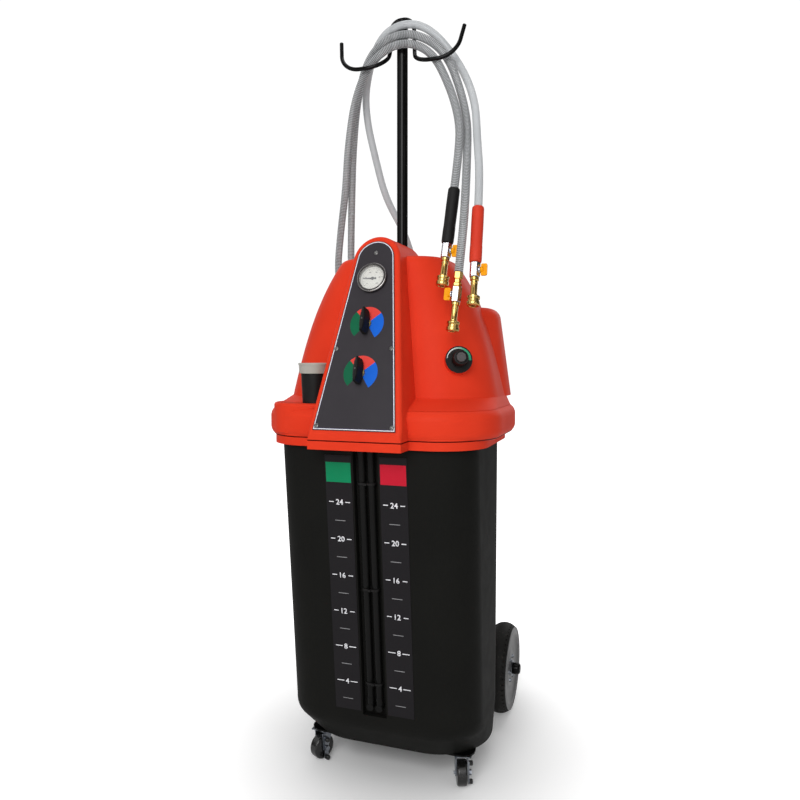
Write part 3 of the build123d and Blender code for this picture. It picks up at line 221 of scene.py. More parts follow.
def numeral(name, digits, height, place, at, lift, heavy):
    """A number of a given height and weight, its middle at a point of a place."""
    curve = bpy.data.curves.new(name, "FONT")
    curve.body = digits
    curve.align_x = "CENTER"
    curve.size = 1.0
    curve.resolution_u = 3
    curve.offset = heavy
    piece = meshed(curve, name, at_origin)
    lows = [min(v.co[i] for v in piece.data.vertices) for i in range(2)]
    highs = [max(v.co[i] for v in piece.data.vertices) for i in range(2)]
    size = height / (highs[1] - lows[1])
    middle = [(low + high) / 2 for low, high in zip(lows, highs)]
    piece.data.transform(Matrix.Translation((-middle[0], -middle[1], 0)))
    piece.data.transform(Matrix.Diagonal((size, size, 1, 1)))
    thicken(piece, film)
    piece.data.transform(place @ Matrix.Translation((at[0], at[1], lift)))
    return piece


def bar(x0, y0, x1, y1):
    """A rectangle's outline."""
    return [(x0, y0), (x1, y0), (x1, y1), (x0, y1)]


def clock(radius, degrees, at=(0, 0)):
    """A point at a clock angle, 0 at the top and running clockwise."""
    turn = math.radians(degrees)
    return at[0] + radius * math.sin(turn), at[1] + radius * math.cos(turn)


def arc_band(inner, outer, start, end, at=(0, 0), steps=32, inner_end=None):
    """A band between two radii from one clock angle to another."""
    inner_end = inner if inner_end is None else inner_end
    shares = [i / steps for i in range(steps + 1)]
    out = [clock(outer, start + (end - start) * share, at) for share in shares]
    back = [
        clock(inner + (inner_end - inner) * share, start + (end - start) * share, at)
        for share in reversed(shares)
    ]
    return out + back


# Places shared with the model
panel_lean = math.radians(19.6)
panel_foot = (0, -307 * mm, 703 * mm)
panel_place = plane_matrix(panel_foot, (1, 0, 0), (0, -math.cos(panel_lean), math.sin(panel_lean)))
selector_heights = {"upper": 198 * mm, "lower": 105 * mm}
gauge_height = 285.5 * mm
front_low_y = -203 * mm
front_low_z = 130 * mm
front_lean = -53 / 560
front_foot_y = front_low_y - front_lean * front_low_z
front_place = plane_matrix((0, front_foot_y, 0), (1, 0, 0), (0, -1, front_lean))
front_slope = math.sqrt(1 + front_lean**2)
regulator_turn = math.radians(24)
regulator_tilt = math.radians(10)
regulator_spot = (155 * mm, -185 * mm, 825 * mm)
regulator_place = plane_matrix(
    regulator_spot, (math.cos(regulator_turn), math.sin(regulator_turn), 0),
    (
        math.sin(regulator_turn) * math.cos(regulator_tilt),
        -math.cos(regulator_turn) * math.cos(regulator_tilt), math.sin(regulator_tilt),
    ),
)


# Shader nodes, and the node groups that the materials share
def set_inputs(node, **values):
    """Sets inputs of a node; an underscore stands for a space in an input's name."""
    for label, value in values.items():
        node.inputs[label.replace("_", " ")].default_value = value
    return node


def new_node(tree, kind, **values):
    """A new shader node with some of its inputs set."""
    return set_inputs(tree.nodes.new(f"ShaderNode{kind}"), **values)


def link(tree, *wires):
    """Joins nodes: a wire is a node and its output, then a node and its input."""
    for start, output, end, entry in wires:
        tree.links.new(start.outputs[output], end.inputs[entry])


def new_group(name, inputs, outputs):
    """A node group with number inputs and outputs, and its two end nodes."""
    group = bpy.data.node_groups.new(name, "ShaderNodeTree")
    for label, value in inputs.items():
        socket = group.interface.new_socket(label, in_out="INPUT", socket_type="NodeSocketFloat")
        socket.default_value = value
    for label in outputs:
        group.interface.new_socket(label, in_out="OUTPUT", socket_type="NodeSocketFloat")
    return group, group.nodes.new("NodeGroupInput"), group.nodes.new("NodeGroupOutput")


def scaled_noise(group, given, scale, **values):
    """Noise on object coordinates, at the scale that an input of its group gives."""
    place = new_node(group, "TexCoord")
    noise = new_node(group, "TexNoise", **values)
    link(group, (place, "Object", noise, "Vector"), (given, scale, noise, "Scale"))
    return noise


def build_moulding_group():
    """Fine grain over slow waves, as moulded and cast surfaces have."""
    group, given, result = new_group(
        "moulded_surface", {"Grain Scale": 900.0, "Wave Scale": 14.0, "Grain Share": 0.5},
        ["Height", "Tone"],
    )
    grain = scaled_noise(group, given, "Grain Scale", Detail=3.0)
    wave = scaled_noise(group, given, "Wave Scale", Detail=2.0)
    blend = new_node(group, "Mix")
    link(
        group, (given, "Grain Share", blend, "Factor"), (wave, "Fac", blend, 2),
        (grain, "Fac", blend, 3), (blend, 0, result, "Height"), (wave, "Fac", result, "Tone"),
    )
    return group


def build_handling_group():
    """Smudges and light wear: a broken mask at two sizes."""
    group, given, result = new_group(
        "handling_marks", {"Smudge Scale": 30.0, "Speck Scale": 220.0}, ["Smudges", "Specks"],
    )
    smudge = scaled_noise(group, given, "Smudge Scale", Detail=6.0, Roughness=0.65)
    speck = scaled_noise(group, given, "Speck Scale", Detail=2.0)
    sharper = new_node(group, "MapRange", From_Min=0.62, From_Max=0.72)
    link(
        group, (speck, "Fac", sharper, "Value"), (smudge, "Fac", result, "Smudges"),
        (sharper, "Result", result, "Specks"),
    )
    return group


moulding_group = build_moulding_group()
handling_group = build_handling_group()
bump_distance = 0.2 * mm
dark_share = 0.8


def shade(red, green, blue):
    """A colour given in 0 to 255, as linear light."""
    def linear(value):
        value /= 255
        return value / 12.92 if value <= 0.04045 else ((value + 0.055) / 1.055) ** 2.4
    return linear(red), linear(green), linear(blue), 1.0


def mix_in(material, mask, colour):
    """Mixes another colour, in 0 to 255, into a material's own, as far as a mask says."""
    tree = material.node_tree
    base = tree.nodes["Principled BSDF"].inputs["Base Color"]
    mix = new_node(tree, "Mix")
    mix.data_type = "RGBA"
    mix.inputs[6].default_value = base.default_value
    mix.inputs[7].default_value = shade(*colour)
    if base.is_linked:
        tree.links.new(base.links[0].from_socket, mix.inputs[6])
    tree.links.new(mask, mix.inputs["Factor"])
    tree.links.new(mix.outputs[2], base)


def placed_group(tree, group, **values):
    """A shared group in a material, with the material's own values."""
    node = tree.nodes.new("ShaderNodeGroup")
    node.node_tree = group
    return set_inputs(node, **values)


def surfaced(
    name, colour, dark=None, rough=(0.35, 0.5), bump=0.1, grain=900.0, waves=14.0, share=0.5,
    specular=0.5, speck_colour=None, **settings,
):
    """A material: two tones over slow waves, roughness broken by smudges, and a grain bump.

    Colours are given in 0 to 255. The darker tone is worked out where none is given.
    """
    material = bpy.data.materials.new(name)
    material.use_nodes = True
    tree = material.node_tree
    shader = tree.nodes["Principled BSDF"]
    mould = placed_group(
        tree, moulding_group, Grain_Scale=grain, Wave_Scale=waves, Grain_Share=share
    )
    marks = placed_group(tree, handling_group, Smudge_Scale=30.0, Speck_Scale=220.0)
    darker = tuple(dark_share * light for light in shade(*colour)[:3]) + (1.0,)
    base = shade(*dark) if dark else darker
    set_inputs(shader, Base_Color=base, Specular_IOR_Level=specular, **settings)
    mix_in(material, mould.outputs["Tone"], colour)
    if speck_colour is not None:
        mix_in(material, marks.outputs["Specks"], speck_colour)
    gloss = new_node(tree, "MapRange", To_Min=rough[0], To_Max=rough[1])
    lift = new_node(tree, "Bump", Strength=bump, Distance=bump_distance)
    link(
        tree, (marks, "Smudges", gloss, "Value"), (gloss, "Result", shader, "Roughness"),
        (mould, "Height", lift, "Height"), (lift, "Normal", shader, "Normal"),
    )
    return material


# Finishes
cover_red = surfaced(
    "cover_red", (226, 64, 38), dark=(208, 50, 28), rough=(0.38, 0.5), grain=700.0, waves=9.0,
    specular=0.04,
)
# Painted shade: the dark red stands for the shade in the groove along the brim's parting line
groove_shade_red = surfaced(
    "groove_shade_red", (74, 10, 5), dark=(58, 7, 4), rough=(0.5, 0.6), grain=700.0, specular=0.04
)
tank_black = surfaced(
    "tank_black", (28, 28, 26), dark=(21, 21, 20), rough=(0.44, 0.6), bump=0.16, grain=600.0,
    waves=7.0, specular=0.03,
)
panel_charcoal = surfaced(
    "panel_charcoal", (56, 53, 57), dark=(48, 45, 49), rough=(0.38, 0.5), bump=0.05, grain=1500.0,
    waves=20.0, specular=0.12,
)
white_print = surfaced("white_print", (240, 240, 244), rough=(0.4, 0.5), bump=0.03)
grey_print = surfaced("grey_print", (150, 150, 152), rough=(0.4, 0.5), bump=0.03)
black_print = surfaced("black_print", (26, 26, 28), rough=(0.4, 0.5), bump=0.03)
green_print = surfaced("green_print", (6, 100, 66), rough=(0.35, 0.45), specular=0.15)
red_print = surfaced("red_print", (228, 68, 60), rough=(0.35, 0.45), specular=0.15)
blue_print = surfaced("blue_print", (12, 98, 210), rough=(0.35, 0.45), specular=0.15)
violet_print = surfaced("violet_print", (96, 92, 140), rough=(0.4, 0.5), bump=0.03)
green_plate = surfaced("green_plate", (4, 132, 86), rough=(0.3, 0.4), specular=0.15)
red_plate = surfaced("red_plate", (198, 22, 48), rough=(0.3, 0.4), specular=0.15)
strip_film = surfaced(
    "strip_film", (30, 28, 30), dark=(25, 23, 26), rough=(0.4, 0.5), bump=0.04, grain=1500.0,
    specular=0.12,
)
black_gloss = surfaced(
    "black_gloss", (12, 12, 12), dark=(8, 8, 8), rough=(0.12, 0.2), bump=0.01, grain=300.0,
    specular=0.14,
)
black_plastic = surfaced(
    "black_plastic", (24, 23, 23), dark=(18, 17, 17), rough=(0.4, 0.55), specular=0.18
)
foam_black = surfaced(
    "foam_black", (20, 20, 19), dark=(13, 13, 13), rough=(0.5, 0.7), bump=0.5, grain=420.0,
    share=0.8, specular=0.25,
)
foam_red = surfaced(
    "foam_red", (214, 60, 34), dark=(192, 44, 24), rough=(0.5, 0.68), bump=0.4, grain=420.0,
    share=0.8, specular=0.25,
)
tyre_rubber = surfaced(
    "tyre_rubber", (28, 27, 25), dark=(19, 19, 18), rough=(0.5, 0.72), bump=0.3, grain=500.0,
    speck_colour=(50, 46, 42), specular=0.2,
)
rim_grey = surfaced("rim_grey", (98, 98, 98), dark=(80, 80, 82), rough=(0.26, 0.4), specular=0.6)
caster_black = surfaced(
    "caster_black", (20, 20, 20), dark=(14, 14, 14), rough=(0.12, 0.28), bump=0.05, grain=600.0,
    speck_colour=(52, 52, 50), specular=0.6,
)
zinc_plate = surfaced(
    "zinc_plate", (160, 163, 168), dark=(118, 124, 134), rough=(0.24, 0.38), bump=0.03, waves=60.0,
    Metallic=1.0,
)
chrome_plate = surfaced(
    "chrome_plate", (206, 206, 210), dark=(182, 182, 188), rough=(0.18, 0.26), bump=0.0,
    waves=20.0, Metallic=1.0,
)
screw_steel = surfaced(
    "screw_steel", (132, 132, 130), dark=(96, 96, 96), rough=(0.3, 0.45), bump=0.05, waves=200.0,
    Metallic=0.9,
)
grey_plastic = surfaced(
    "grey_plastic", (86, 83, 83), dark=(70, 67, 68), rough=(0.35, 0.5), bump=0.15, specular=0.3
)
bezel_steel = surfaced(
    "bezel_steel", (164, 160, 158), dark=(120, 118, 118), rough=(0.16, 0.26), bump=0.01,
    waves=60.0, Metallic=1.0,
)
brass_metal = surfaced(
    "brass_metal", (222, 190, 118), dark=(190, 152, 80), rough=(0.18, 0.28), bump=0.0, waves=60.0,
    Metallic=1.0,
)
dull_brass = surfaced(
    "dull_brass", (206, 176, 96), dark=(160, 130, 60), rough=(0.35, 0.5), bump=0.05, waves=80.0,
    Metallic=0.6,
)
cast_metal = surfaced(
    "cast_metal", (170, 172, 174), dark=(140, 142, 144), rough=(0.4, 0.55), bump=0.4, grain=350.0,
    Metallic=1.0,
)
handle_yellow = surfaced(
    "handle_yellow", (244, 166, 8), dark=(230, 146, 2), rough=(0.35, 0.48), specular=0.1
)
cap_white = surfaced(
    "cap_white", (190, 187, 178), dark=(164, 161, 152), rough=(0.26, 0.38), bump=0.05, Alpha=0.86,
    specular=0.3,
)
dial_white = surfaced("dial_white", (232, 230, 222), rough=(0.4, 0.5), bump=0.02)
tube_dark = surfaced(
    "tube_dark", (20, 20, 19), dark=(14, 14, 14), rough=(0.25, 0.35), bump=0.04, specular=0.1
)
slim_hose_wall = surfaced(
    "slim_hose_wall", (200, 203, 205), dark=(180, 183, 186), rough=(0.16, 0.28), bump=0.04,
    grain=400.0, Alpha=0.78, IOR=1.4,
)
hose_wire = surfaced(
    "hose_wire", (96, 98, 100), dark=(72, 74, 76), rough=(0.3, 0.45), bump=0.05, Metallic=0.6
)
lens_glass = surfaced(
    "lens_glass", (250, 252, 252), rough=(0.03, 0.06), bump=0.0, Alpha=0.12, IOR=1.45
)


def attribute_mask(material, name):
    """The values that a piece's own points carry."""
    reader = new_node(material.node_tree, "Attribute")
    reader.attribute_name = name
    return reader.outputs["Fac"]


def build_hose_wall():
    """Clear reinforced wall: pale over the wire, dark and thinner between its turns."""
    material = surfaced(
        "hose_wall", (220, 222, 224), dark=(198, 201, 203), rough=(0.18, 0.34), bump=0.05,
        grain=400.0, IOR=1.4,
    )
    mix_in(material, attribute_mask(material, "rib"), (80, 82, 84))
    tree = material.node_tree
    edge = new_node(tree, "LayerWeight", Blend=0.4)
    clear = new_node(tree, "MapRange", To_Min=0.55, To_Max=1.0)
    shader = tree.nodes["Principled BSDF"]
    link(tree, (edge, "Facing", clear, "Value"), (clear, "Result", shader, "Alpha"))
    return material


def build_crescent_print():
    """White print that turns green along the crescent."""
    material = surfaced("crescent_print", (226, 232, 230), rough=(0.35, 0.45), bump=0.02)
    mix_in(material, attribute_mask(material, "along"), (8, 146, 104))
    return material


hose_wall = build_hose_wall()
crescent_print = build_crescent_print()

nodes_of_finish = (
    (tank_black, "tank"), (cover_red, "top_cover"), (panel_charcoal, "control_panel"),
    (screw_steel, "panel_screws"), (bezel_steel, "gauge_case"), (dial_white, "gauge_dial"),
    (black_print, "gauge_needle"), (lens_glass, "gauge_lens"),
    (dull_brass, "upper_selector_valve", "lower_selector_valve"),
    (
        black_plastic, "upper_selector_knob", "lower_selector_knob", "pressure_regulator",
        "pressure_knob", "fill_neck", "hub_caps", "cable_ties",
    ),
    (cap_white, "fill_cap", "dip_tubes"),
    (black_gloss, "mast_socket", "mast", "hose_hook", "axle_bracket", "front_crossbar"),
    (rim_grey, "right_wheel_rim", "left_wheel_rim"), (tyre_rubber, "right_tyre", "left_tyre"),
    (
        zinc_plate, "rear_axle", "caster_plates", "left_caster_fork", "right_caster_fork",
        "left_caster_brake", "right_caster_brake",
    ),
    (caster_black, "left_caster_wheel", "right_caster_wheel"),
    (tube_dark, "level_tubes", "level_elbows"), (strip_film, "scale_strips"),
    (cast_metal, "air_pump"), (foam_black, "black_grip"), (foam_red, "red_grip"),
    (
        brass_metal, "hose_bulkheads", "air_inlet", "hose_nut", "couplers",
        "inner_coupler_collar", "middle_coupler_collar", "outer_coupler_collar",
    ),
    (chrome_plate, "ball_valves"),
    (handle_yellow, "inner_valve_handle", "middle_valve_handle", "outer_valve_handle"),
)


def dressed(piece, material, body="machine"):
    """Gives a new piece its finish and its body."""
    piece.data.materials.clear()
    piece.data.materials.append(material)
    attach(piece, body)
    return piece


for material, *names in nodes_of_finish:
    for name in names:
        nodes[name].data.materials.clear()
        nodes[name].data.materials.append(material)

# Camera at the photograph's place: front right, level with the cover
camera_spot = (480.2 * mm, -1446.5 * mm, 828.5 * mm)
camera_turn = math.radians(19.1)
camera_tip = math.radians(3.35)
camera_data = bpy.data.cameras.new("camera")
camera_data.lens = 32.508
camera_data.sensor_width = 36.0
camera = added("camera", camera_data)
camera.location = camera_spot
camera.rotation_euler = (math.radians(90) - camera_tip, 0, camera_turn)
bpy.context.scene.camera = camera


# Floor, sky and soft studio lights
def build_floor():
    """A pale floor with a painted glow for the camera alone, rising with distance from the machine:
    painted shade round its foot.
    """
    deselect()
    bpy.ops.mesh.primitive_plane_add(size=30)
    floor = bpy.context.object
    floor.name = "floor"
    pale = bpy.data.materials.new("pale_floor")
    pale.use_nodes = True
    tree = pale.node_tree
    shader = set_inputs(
        tree.nodes["Principled BSDF"], Base_Color=(0.92, 0.92, 0.92, 1), Roughness=0.9,
        Emission_Color=(1, 1, 1, 1),
    )
    place = new_node(tree, "TexCoord")
    away = new_node(tree, "VectorMath")
    away.operation = "LENGTH"
    # Painted light and shade: the glow brightens the floor away from the machine and leaves a
    # painted shadow near it
    painted_glow = new_node(tree, "MapRange", From_Min=0.12, From_Max=0.78, To_Max=0.9)
    ray = new_node(tree, "LightPath")
    only_seen = new_node(tree, "Math")
    only_seen.operation = "MULTIPLY"
    link(
        tree, (place, "Object", away, 0), (away, "Value", painted_glow, "Value"),
        (painted_glow, "Result", only_seen, 0), (ray, "Is Camera Ray", only_seen, 1),
        (only_seen, "Value", shader, "Emission Strength"),
    )
    floor.data.materials.append(pale)


def build_sky():
    """White for the camera, even light for surfaces, and bands like lit panels for mirrors."""
    world = bpy.data.worlds.new("studio")
    world.use_nodes = True
    tree = world.node_tree
    background = set_inputs(tree.nodes["Background"], Color=(1, 1, 1, 1))
    ray = new_node(tree, "LightPath")
    level = new_node(tree, "MapRange", To_Min=0.42, To_Max=1.05)
    toward = new_node(tree, "TexCoord")
    bands = new_node(tree, "TexWave", Scale=0.32, Phase_Offset=1.2)
    panels = new_node(tree, "MapRange", From_Min=0.55, From_Max=0.8, To_Min=0.08, To_Max=0.85)
    mirrored = new_node(tree, "Mix")
    link(
        tree, (toward, "Generated", bands, "Vector"), (bands, "Fac", panels, "Value"),
        (ray, "Is Camera Ray", level, "Value"), (ray, "Is Glossy Ray", mirrored, "Factor"),
        (level, "Result", mirrored, 2), (panels, "Result", mirrored, 3),
        (mirrored, 0, background, "Strength"),
    )
    bpy.context.scene.world = world


# Each light: its name, place, aim, size in metres and power in watts
lights = (
    ("key", (0.2, -2.9, 2.0), (0, 0, 0.8), 1.8, 56),
    ("right_fill", (2.4, -1.6, 1.6), (0, 0, 0.9), 1.0, 4),
    ("top", (-0.2, 0.1, 3.2), (0, 0, 0.9), 1.4, 14),
    ("back", (0.6, 2.6, 1.8), (0, 0, 0.9), 1.6, 7),
)
build_floor()
build_sky()
for name, place, aim, size, power in lights:
    light_data = bpy.data.lights.new(name, "AREA")
    light_data.size = size
    light_data.energy = power
    light = added(name, light_data)
    light.location = place
    light.rotation_euler = (Vector(aim) - Vector(place)).to_track_quat("-Z", "Y").to_euler()
bpy.context.scene.view_settings.view_transform = "Standard"

# Service hoses: the routes of the model, in millimetres
hose_routes = {
    "inner": [
        (-20, 124, 774), (-20, 124, 640), (-21, 138, 510), (-20, 150, 383), (-72, 154, 331),
        (-146, 154, 331), (-198, 150, 383), (-200, 145, 510), (-200, 140, 640), (-198, 132, 780),
        (-198, 112, 915), (-194, 66, 1018), (-173, 40, 1111), (-148, 10, 1189), (-131, -16, 1274),
        (-99, -50, 1366), (-56, -62, 1428), (9, -69, 1450), (66, -58, 1426), (106, -70, 1348),
        (134, -104, 1270), (141, -136, 1207), (137, -154, 1135),
    ],
    "middle": [
        (30, 124, 774), (30, 124, 640), (31, 144, 500), (30, 168, 355), (-25, 174, 300),
        (-101, 174, 300), (-156, 172, 355), (-158, 166, 490), (-158, 158, 630), (-160, 148, 770),
        (-165, 120, 905), (-163, 72, 1022), (-154, 54, 1110), (-141, 28, 1188), (-127, 2, 1273),
        (-102, -30, 1378), (-60, -58, 1446), (9, -69, 1467), (63, -58, 1448), (98, -52, 1410),
        (124, -63, 1345), (144, -82, 1275), (155, -132, 1190), (161, -166, 1118), (163, -190, 1050),
        (158, -200, 979),
    ],
    "outer": [
        (140, 124, 774), (140, 124, 680), (141, 148, 570), (140, 178, 466), (91, 188, 417),
        (23, 190, 417), (-26, 190, 466), (-30, 186, 570), (-26, 178, 690), (-18, 164, 810),
        (-12, 130, 920), (-12, 84, 1015), (-30, 60, 1100), (-67, 40, 1171), (-84, 24, 1252),
        (-97, 6, 1329), (-93, -12, 1392), (-51, -50, 1467), (9, -71, 1484), (61, -50, 1474),
        (114, -28, 1408), (155, -68, 1320), (171, -118, 1228), (183, -148, 1157), (184, -164, 1097),
    ],
}
hose_r = 8.0 * mm
slim_hose_r = 7.5 * mm
rib_pitch = 3.3 * mm
rib_depth = 0.45 * mm
wire_r = 0.6 * mm
hose_sides = 16
wire_sides = 4
wire_steps_a_turn = 10


def route_line(name, route):
    """The smooth line through a route: a spline with the route's points as its control points."""
    curve = bpy.data.curves.new(f"{name}_line", "CURVE")
    curve.dimensions = "3D"
    curve.resolution_u = 24
    spline = curve.splines.new("NURBS")
    spline.points.add(len(route) - 1)
    for point, place in zip(spline.points, route):
        point.co = (place[0] * mm, place[1] * mm, place[2] * mm, 1)
    spline.order_u = 3
    spline.use_endpoint_u = True
    line = meshed(curve, f"{name}_route", at_origin)
    points = [vertex.co.copy() for vertex in line.data.vertices]
    discard(line)
    return points


def evenly(points, step):
    """The same line in even steps."""
    places = [0.0]
    for a, b in zip(points, points[1:]):
        places.append(places[-1] + (b - a).length)
    count = max(2, round(places[-1] / step))
    found, at = [], 0
    for index in range(count + 1):
        goal = places[-1] * index / count
        while at < len(points) - 2 and places[at + 1] < goal:
            at += 1
        share = (goal - places[at]) / max(places[at + 1] - places[at], 1e-9)
        found.append(points[at].lerp(points[at + 1], min(1.0, share)))
    return found, places[-1]


def frames_along(points):
    """A tangent and two steady cross directions at each point."""
    tangents = []
    for index in range(len(points)):
        before, after = points[max(0, index - 1)], points[min(len(points) - 1, index + 1)]
        tangents.append((after - before).normalized())
    across = tangents[0].orthogonal().normalized()
    rows = []
    for tangent in tangents:
        across = (across - tangent * across.dot(tangent)).normalized()
        rows.append((tangent, across, tangent.cross(across)))
    return rows


def tube_mesh(name, points, radii, sides):
    """A closed tube round a line, with its own radius at each point."""
    vertices, faces = [], []
    for point, radius, (_, across, up) in zip(points, radii, frames_along(points)):
        for side in range(sides):
            angle = 2 * math.pi * side / sides
            vertices.append(point + (across * math.cos(angle) + up * math.sin(angle)) * radius)
    for row in range(len(points) - 1):
        for side in range(sides):
            a, b = row * sides + side, row * sides + (side + 1) % sides
            faces.append((a, b, b + sides, a + sides))
    faces.append(tuple(reversed(range(sides))))
    faces.append(tuple(range((len(points) - 1) * sides, len(points) * sides)))
    mesh = bpy.data.meshes.new(name)
    mesh.from_pydata(vertices, [], faces)
    mesh.update()
    for polygon in mesh.polygons:
        polygon.use_smooth = len(polygon.vertices) == 4
    return added(name, mesh)


def ribbed_hose(name, points):
    """A clear wall with a shallow rib at each turn of its wire."""
    wave = (0.0, 0.5, 1.0, 0.5)
    line, _ = evenly(points, rib_pitch / len(wave))
    radii = [hose_r - rib_depth * wave[index % len(wave)] for index in range(len(line))]
    hose = tube_mesh(name, line, radii, hose_sides)
    rib = hose.data.attributes.new("rib", "FLOAT", "POINT")
    for index in range(len(hose.data.vertices)):
        rib.data[index].value = wave[index // hose_sides % len(wave)]
    return hose


def wire_coil(name, points):
    """The wire wound inside the wall."""
    line, _ = evenly(points, rib_pitch / wire_steps_a_turn)
    coil_r = hose_r - rib_depth - 2 * wire_r
    coil = []
    for index, (point, (_, across, up)) in enumerate(zip(line, frames_along(line))):
        angle = 2 * math.pi * index / wire_steps_a_turn
        coil.append(point + (across * math.cos(angle) + up * math.sin(angle)) * coil_r)
    return tube_mesh(name, coil, [wire_r] * len(coil), wire_sides)


hose_lines = {name: route_line(name, route) for name, route in hose_routes.items()}

# Fittings, each in line with the end of its hose
grip_length = 105
nut_length = 26
valve_length = 28
coupler_length = 52
collar_length = 18
fitting_starts = {"inner": grip_length, "middle": nut_length, "outer": grip_length}


def fitting_place(name, along):
    """Local Z down the fittings of a hose, local X to the side its valve handle is on."""
    before, end = (Vector(point) for point in hose_routes[name][-2:])
    run = (end - before).normalized()
    side = -1 if name == "middle" else 1
    return plane_matrix((end + run * along) * mm, (side, 0, -side * run.x / run.z), run)


grip_rows = [
    (0, 8.6), (0.4, 9.8), (1.6, 10.6), (4, 10.9), (30, 11.1), (62, 10.9), (74, 10.8), (75, 11.05),
    (76.5, 11.1), (90, 11.2), (100, 11.1), (103, 10.8), (104.6, 10.0), (105, 9.0),
]
nut_rows = [
    (0, 7.0), (0.8, 8.5), (11.6, 8.5), (12.6, 7.0), (13, 6.3), (19, 6.3), (19.6, 7.0), (20.4, 8.2),
    (25.2, 8.2), (26, 7.0),
]
valve_rows = [(0, 7.6), (0.3, 8.1), (1.5, 9.5), (26.5, 9.5), (27.7, 8.1), (28, 7.6)]
coupler_rows = [
    (0.2, 6.6), (0.8, 8.0), (5.2, 8.0), (6, 6.6), (6.4, 5.9), (9, 5.9), (9.5, 6.5), (11.5, 6.5),
    (12, 6.0), (30, 6.0), (30.6, 6.4), (33, 6.4), (33.5, 6.0), (51.2, 6.0), (52, 5.4), (52, 4.2),
    (40, 4.0),
]
collar_rows = [
    (0, 6.7), (0, 9.6), (0.6, 10.2), (1, 11.2), (1.2, 11.4), (5.4, 11.4), (5.7, 11.2), (6.2, 10.2),
    (10.2, 10.2), (10.6, 11.2), (10.9, 11.6), (16.4, 11.6), (16.8, 11.4), (17.6, 10.6), (18, 9.8),
    (18, 7.6), (17, 6.9), (17, 6.7),
]
boss_rows = [(7.6, 6.4), (9.4, 6.4), (10, 5.8), (10, 3.0), (12.6, 3.0), (13, 2.6)]
grips = {}
for name, grip, material in (("inner", "black_grip", foam_black), ("outer", "red_grip", foam_red)):
    grips[name] = turned(f"{grip}_sleeve", grip_rows, fitting_place(name, 0))
    dressed(grips[name], material)
    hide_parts(grip)
grips["middle"] = turned("hose_ferrule", nut_rows, fitting_place("middle", 0), sides=6)
dressed(grips["middle"], brass_metal)
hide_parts("hose_nut")

valve_places = [fitting_place(name, start) for name, start in fitting_starts.items()]
to_side = Matrix.Translation((0, 0, valve_length / 2 * mm)) @ Matrix.Rotation(math.pi / 2, 4, "Y")
to_coupler = Matrix.Translation((0, 0, valve_length * mm))
to_collar = Matrix.Translation((0, 0, (coupler_length - collar_length) * mm))
coupler_places = [place @ to_coupler for place in valve_places]
valve = joined(
    [
        turned("valve_hexagon", valve_rows, at_origin, sides=6),
        turned("valve_boss", boss_rows, to_side, sides=24),
    ], "valve",
)
coupler = turned("coupler", coupler_rows, at_origin, sides=36)
collar = turned("collar", collar_rows, at_origin, bored=True, knurl=(10.9, 16.5, 0.06))
valves = dressed(copies(valve, "valve_bodies", valve_places), chrome_plate)
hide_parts("ball_valves")
coupler_bodies = copies(coupler, "coupler_bodies", coupler_places)
dressed(coupler_bodies, brass_metal)
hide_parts("couplers")
for name, place in zip(fitting_starts, coupler_places):
    knurled = copies(collar, f"{name}_knurled_collar", [place @ to_collar])
    dressed(knurled, brass_metal, f"{name}_collar")
    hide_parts(f"{name}_coupler_collar")
discard(valve, coupler, collar)

# The hoses, two reinforced and one smooth
for name in ("inner", "middle"):
    line = hose_lines[name]
    hose = dressed(ribbed_hose(f"{name}_ribbed_hose", line), hose_wall)
    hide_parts(f"{name}_hose")
    coil = dressed(wire_coil(f"{name}_hose_wire", line), hose_wire)
    _, length = evenly(line, rib_pitch)

slim_step = 4 * mm
slim_line, slim_length = evenly(hose_lines["outer"], slim_step)
slim_hose = dressed(
    tube_mesh("outer_smooth_hose", slim_line, [slim_hose_r] * len(slim_line), hose_sides),
    slim_hose_wall,
)
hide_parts("outer_hose")

# Rear wheels: pressed discs with rings and a rolled lip, bolts, washers and domed hub caps
wheel_r = 101.6 * mm
wheel_inner_x = 143 * mm
axle_y = 205 * mm
bolt_count = 6
bolt_circle_r = 27 * mm
wheel_rows = [
    (0.2, 8.3), (0.2, 17), (31, 17), (33.5, 30), (31.5, 60), (36, 71.5), (7.4, 72), (7, 76),
    (44.1, 76.2), (44.1, 92.4), (44.9, 92.9), (45.7, 92.4), (45.9, 91.2), (45.4, 90), (44.5, 88.8),
    (44.4, 82), (44.9, 81), (44.9, 79.6), (44.3, 78.6), (43.6, 76), (41.2, 73), (39.2, 62),
    (38.2, 48), (38.6, 44), (40.6, 40), (41.4, 34), (41.4, 22), (43.2, 19), (43.8, 16), (43.8, 8.3),
]
washer_rows = [(43.9, 13.3), (43.9, 17.4), (44.6, 18), (45.2, 17.4), (45.2, 13.3)]
cap_rows = [(44.3, 12.2), (45, 13), (56, 12.9), (60, 12.2), (62.2, 10.2), (63.1, 7), (63.3, 3)]
bolt_rows = [(40.8, 4.6), (43.6, 4.6), (44.4, 3.8), (44.4, 2.4), (45.4, 2.4), (45.8, 1.8)]
disc = turned("disc", wheel_rows, at_origin, sides=72, bored=True)
bolt = turned("bolt", bolt_rows, at_origin, sides=6)
washer = turned("washer", washer_rows, at_origin, bored=True)
hub_cap = turned("hub_cap", cap_rows, at_origin)
bolt_ring = [
    Matrix.Rotation(2 * math.pi * index / bolt_count, 4, "Z")
    @ Matrix.Translation((bolt_circle_r, 0, 0)) for index in range(bolt_count)
]
plated = joined([copies(bolt, "bolts", bolt_ring), washer], "plated")
wheel_places = []
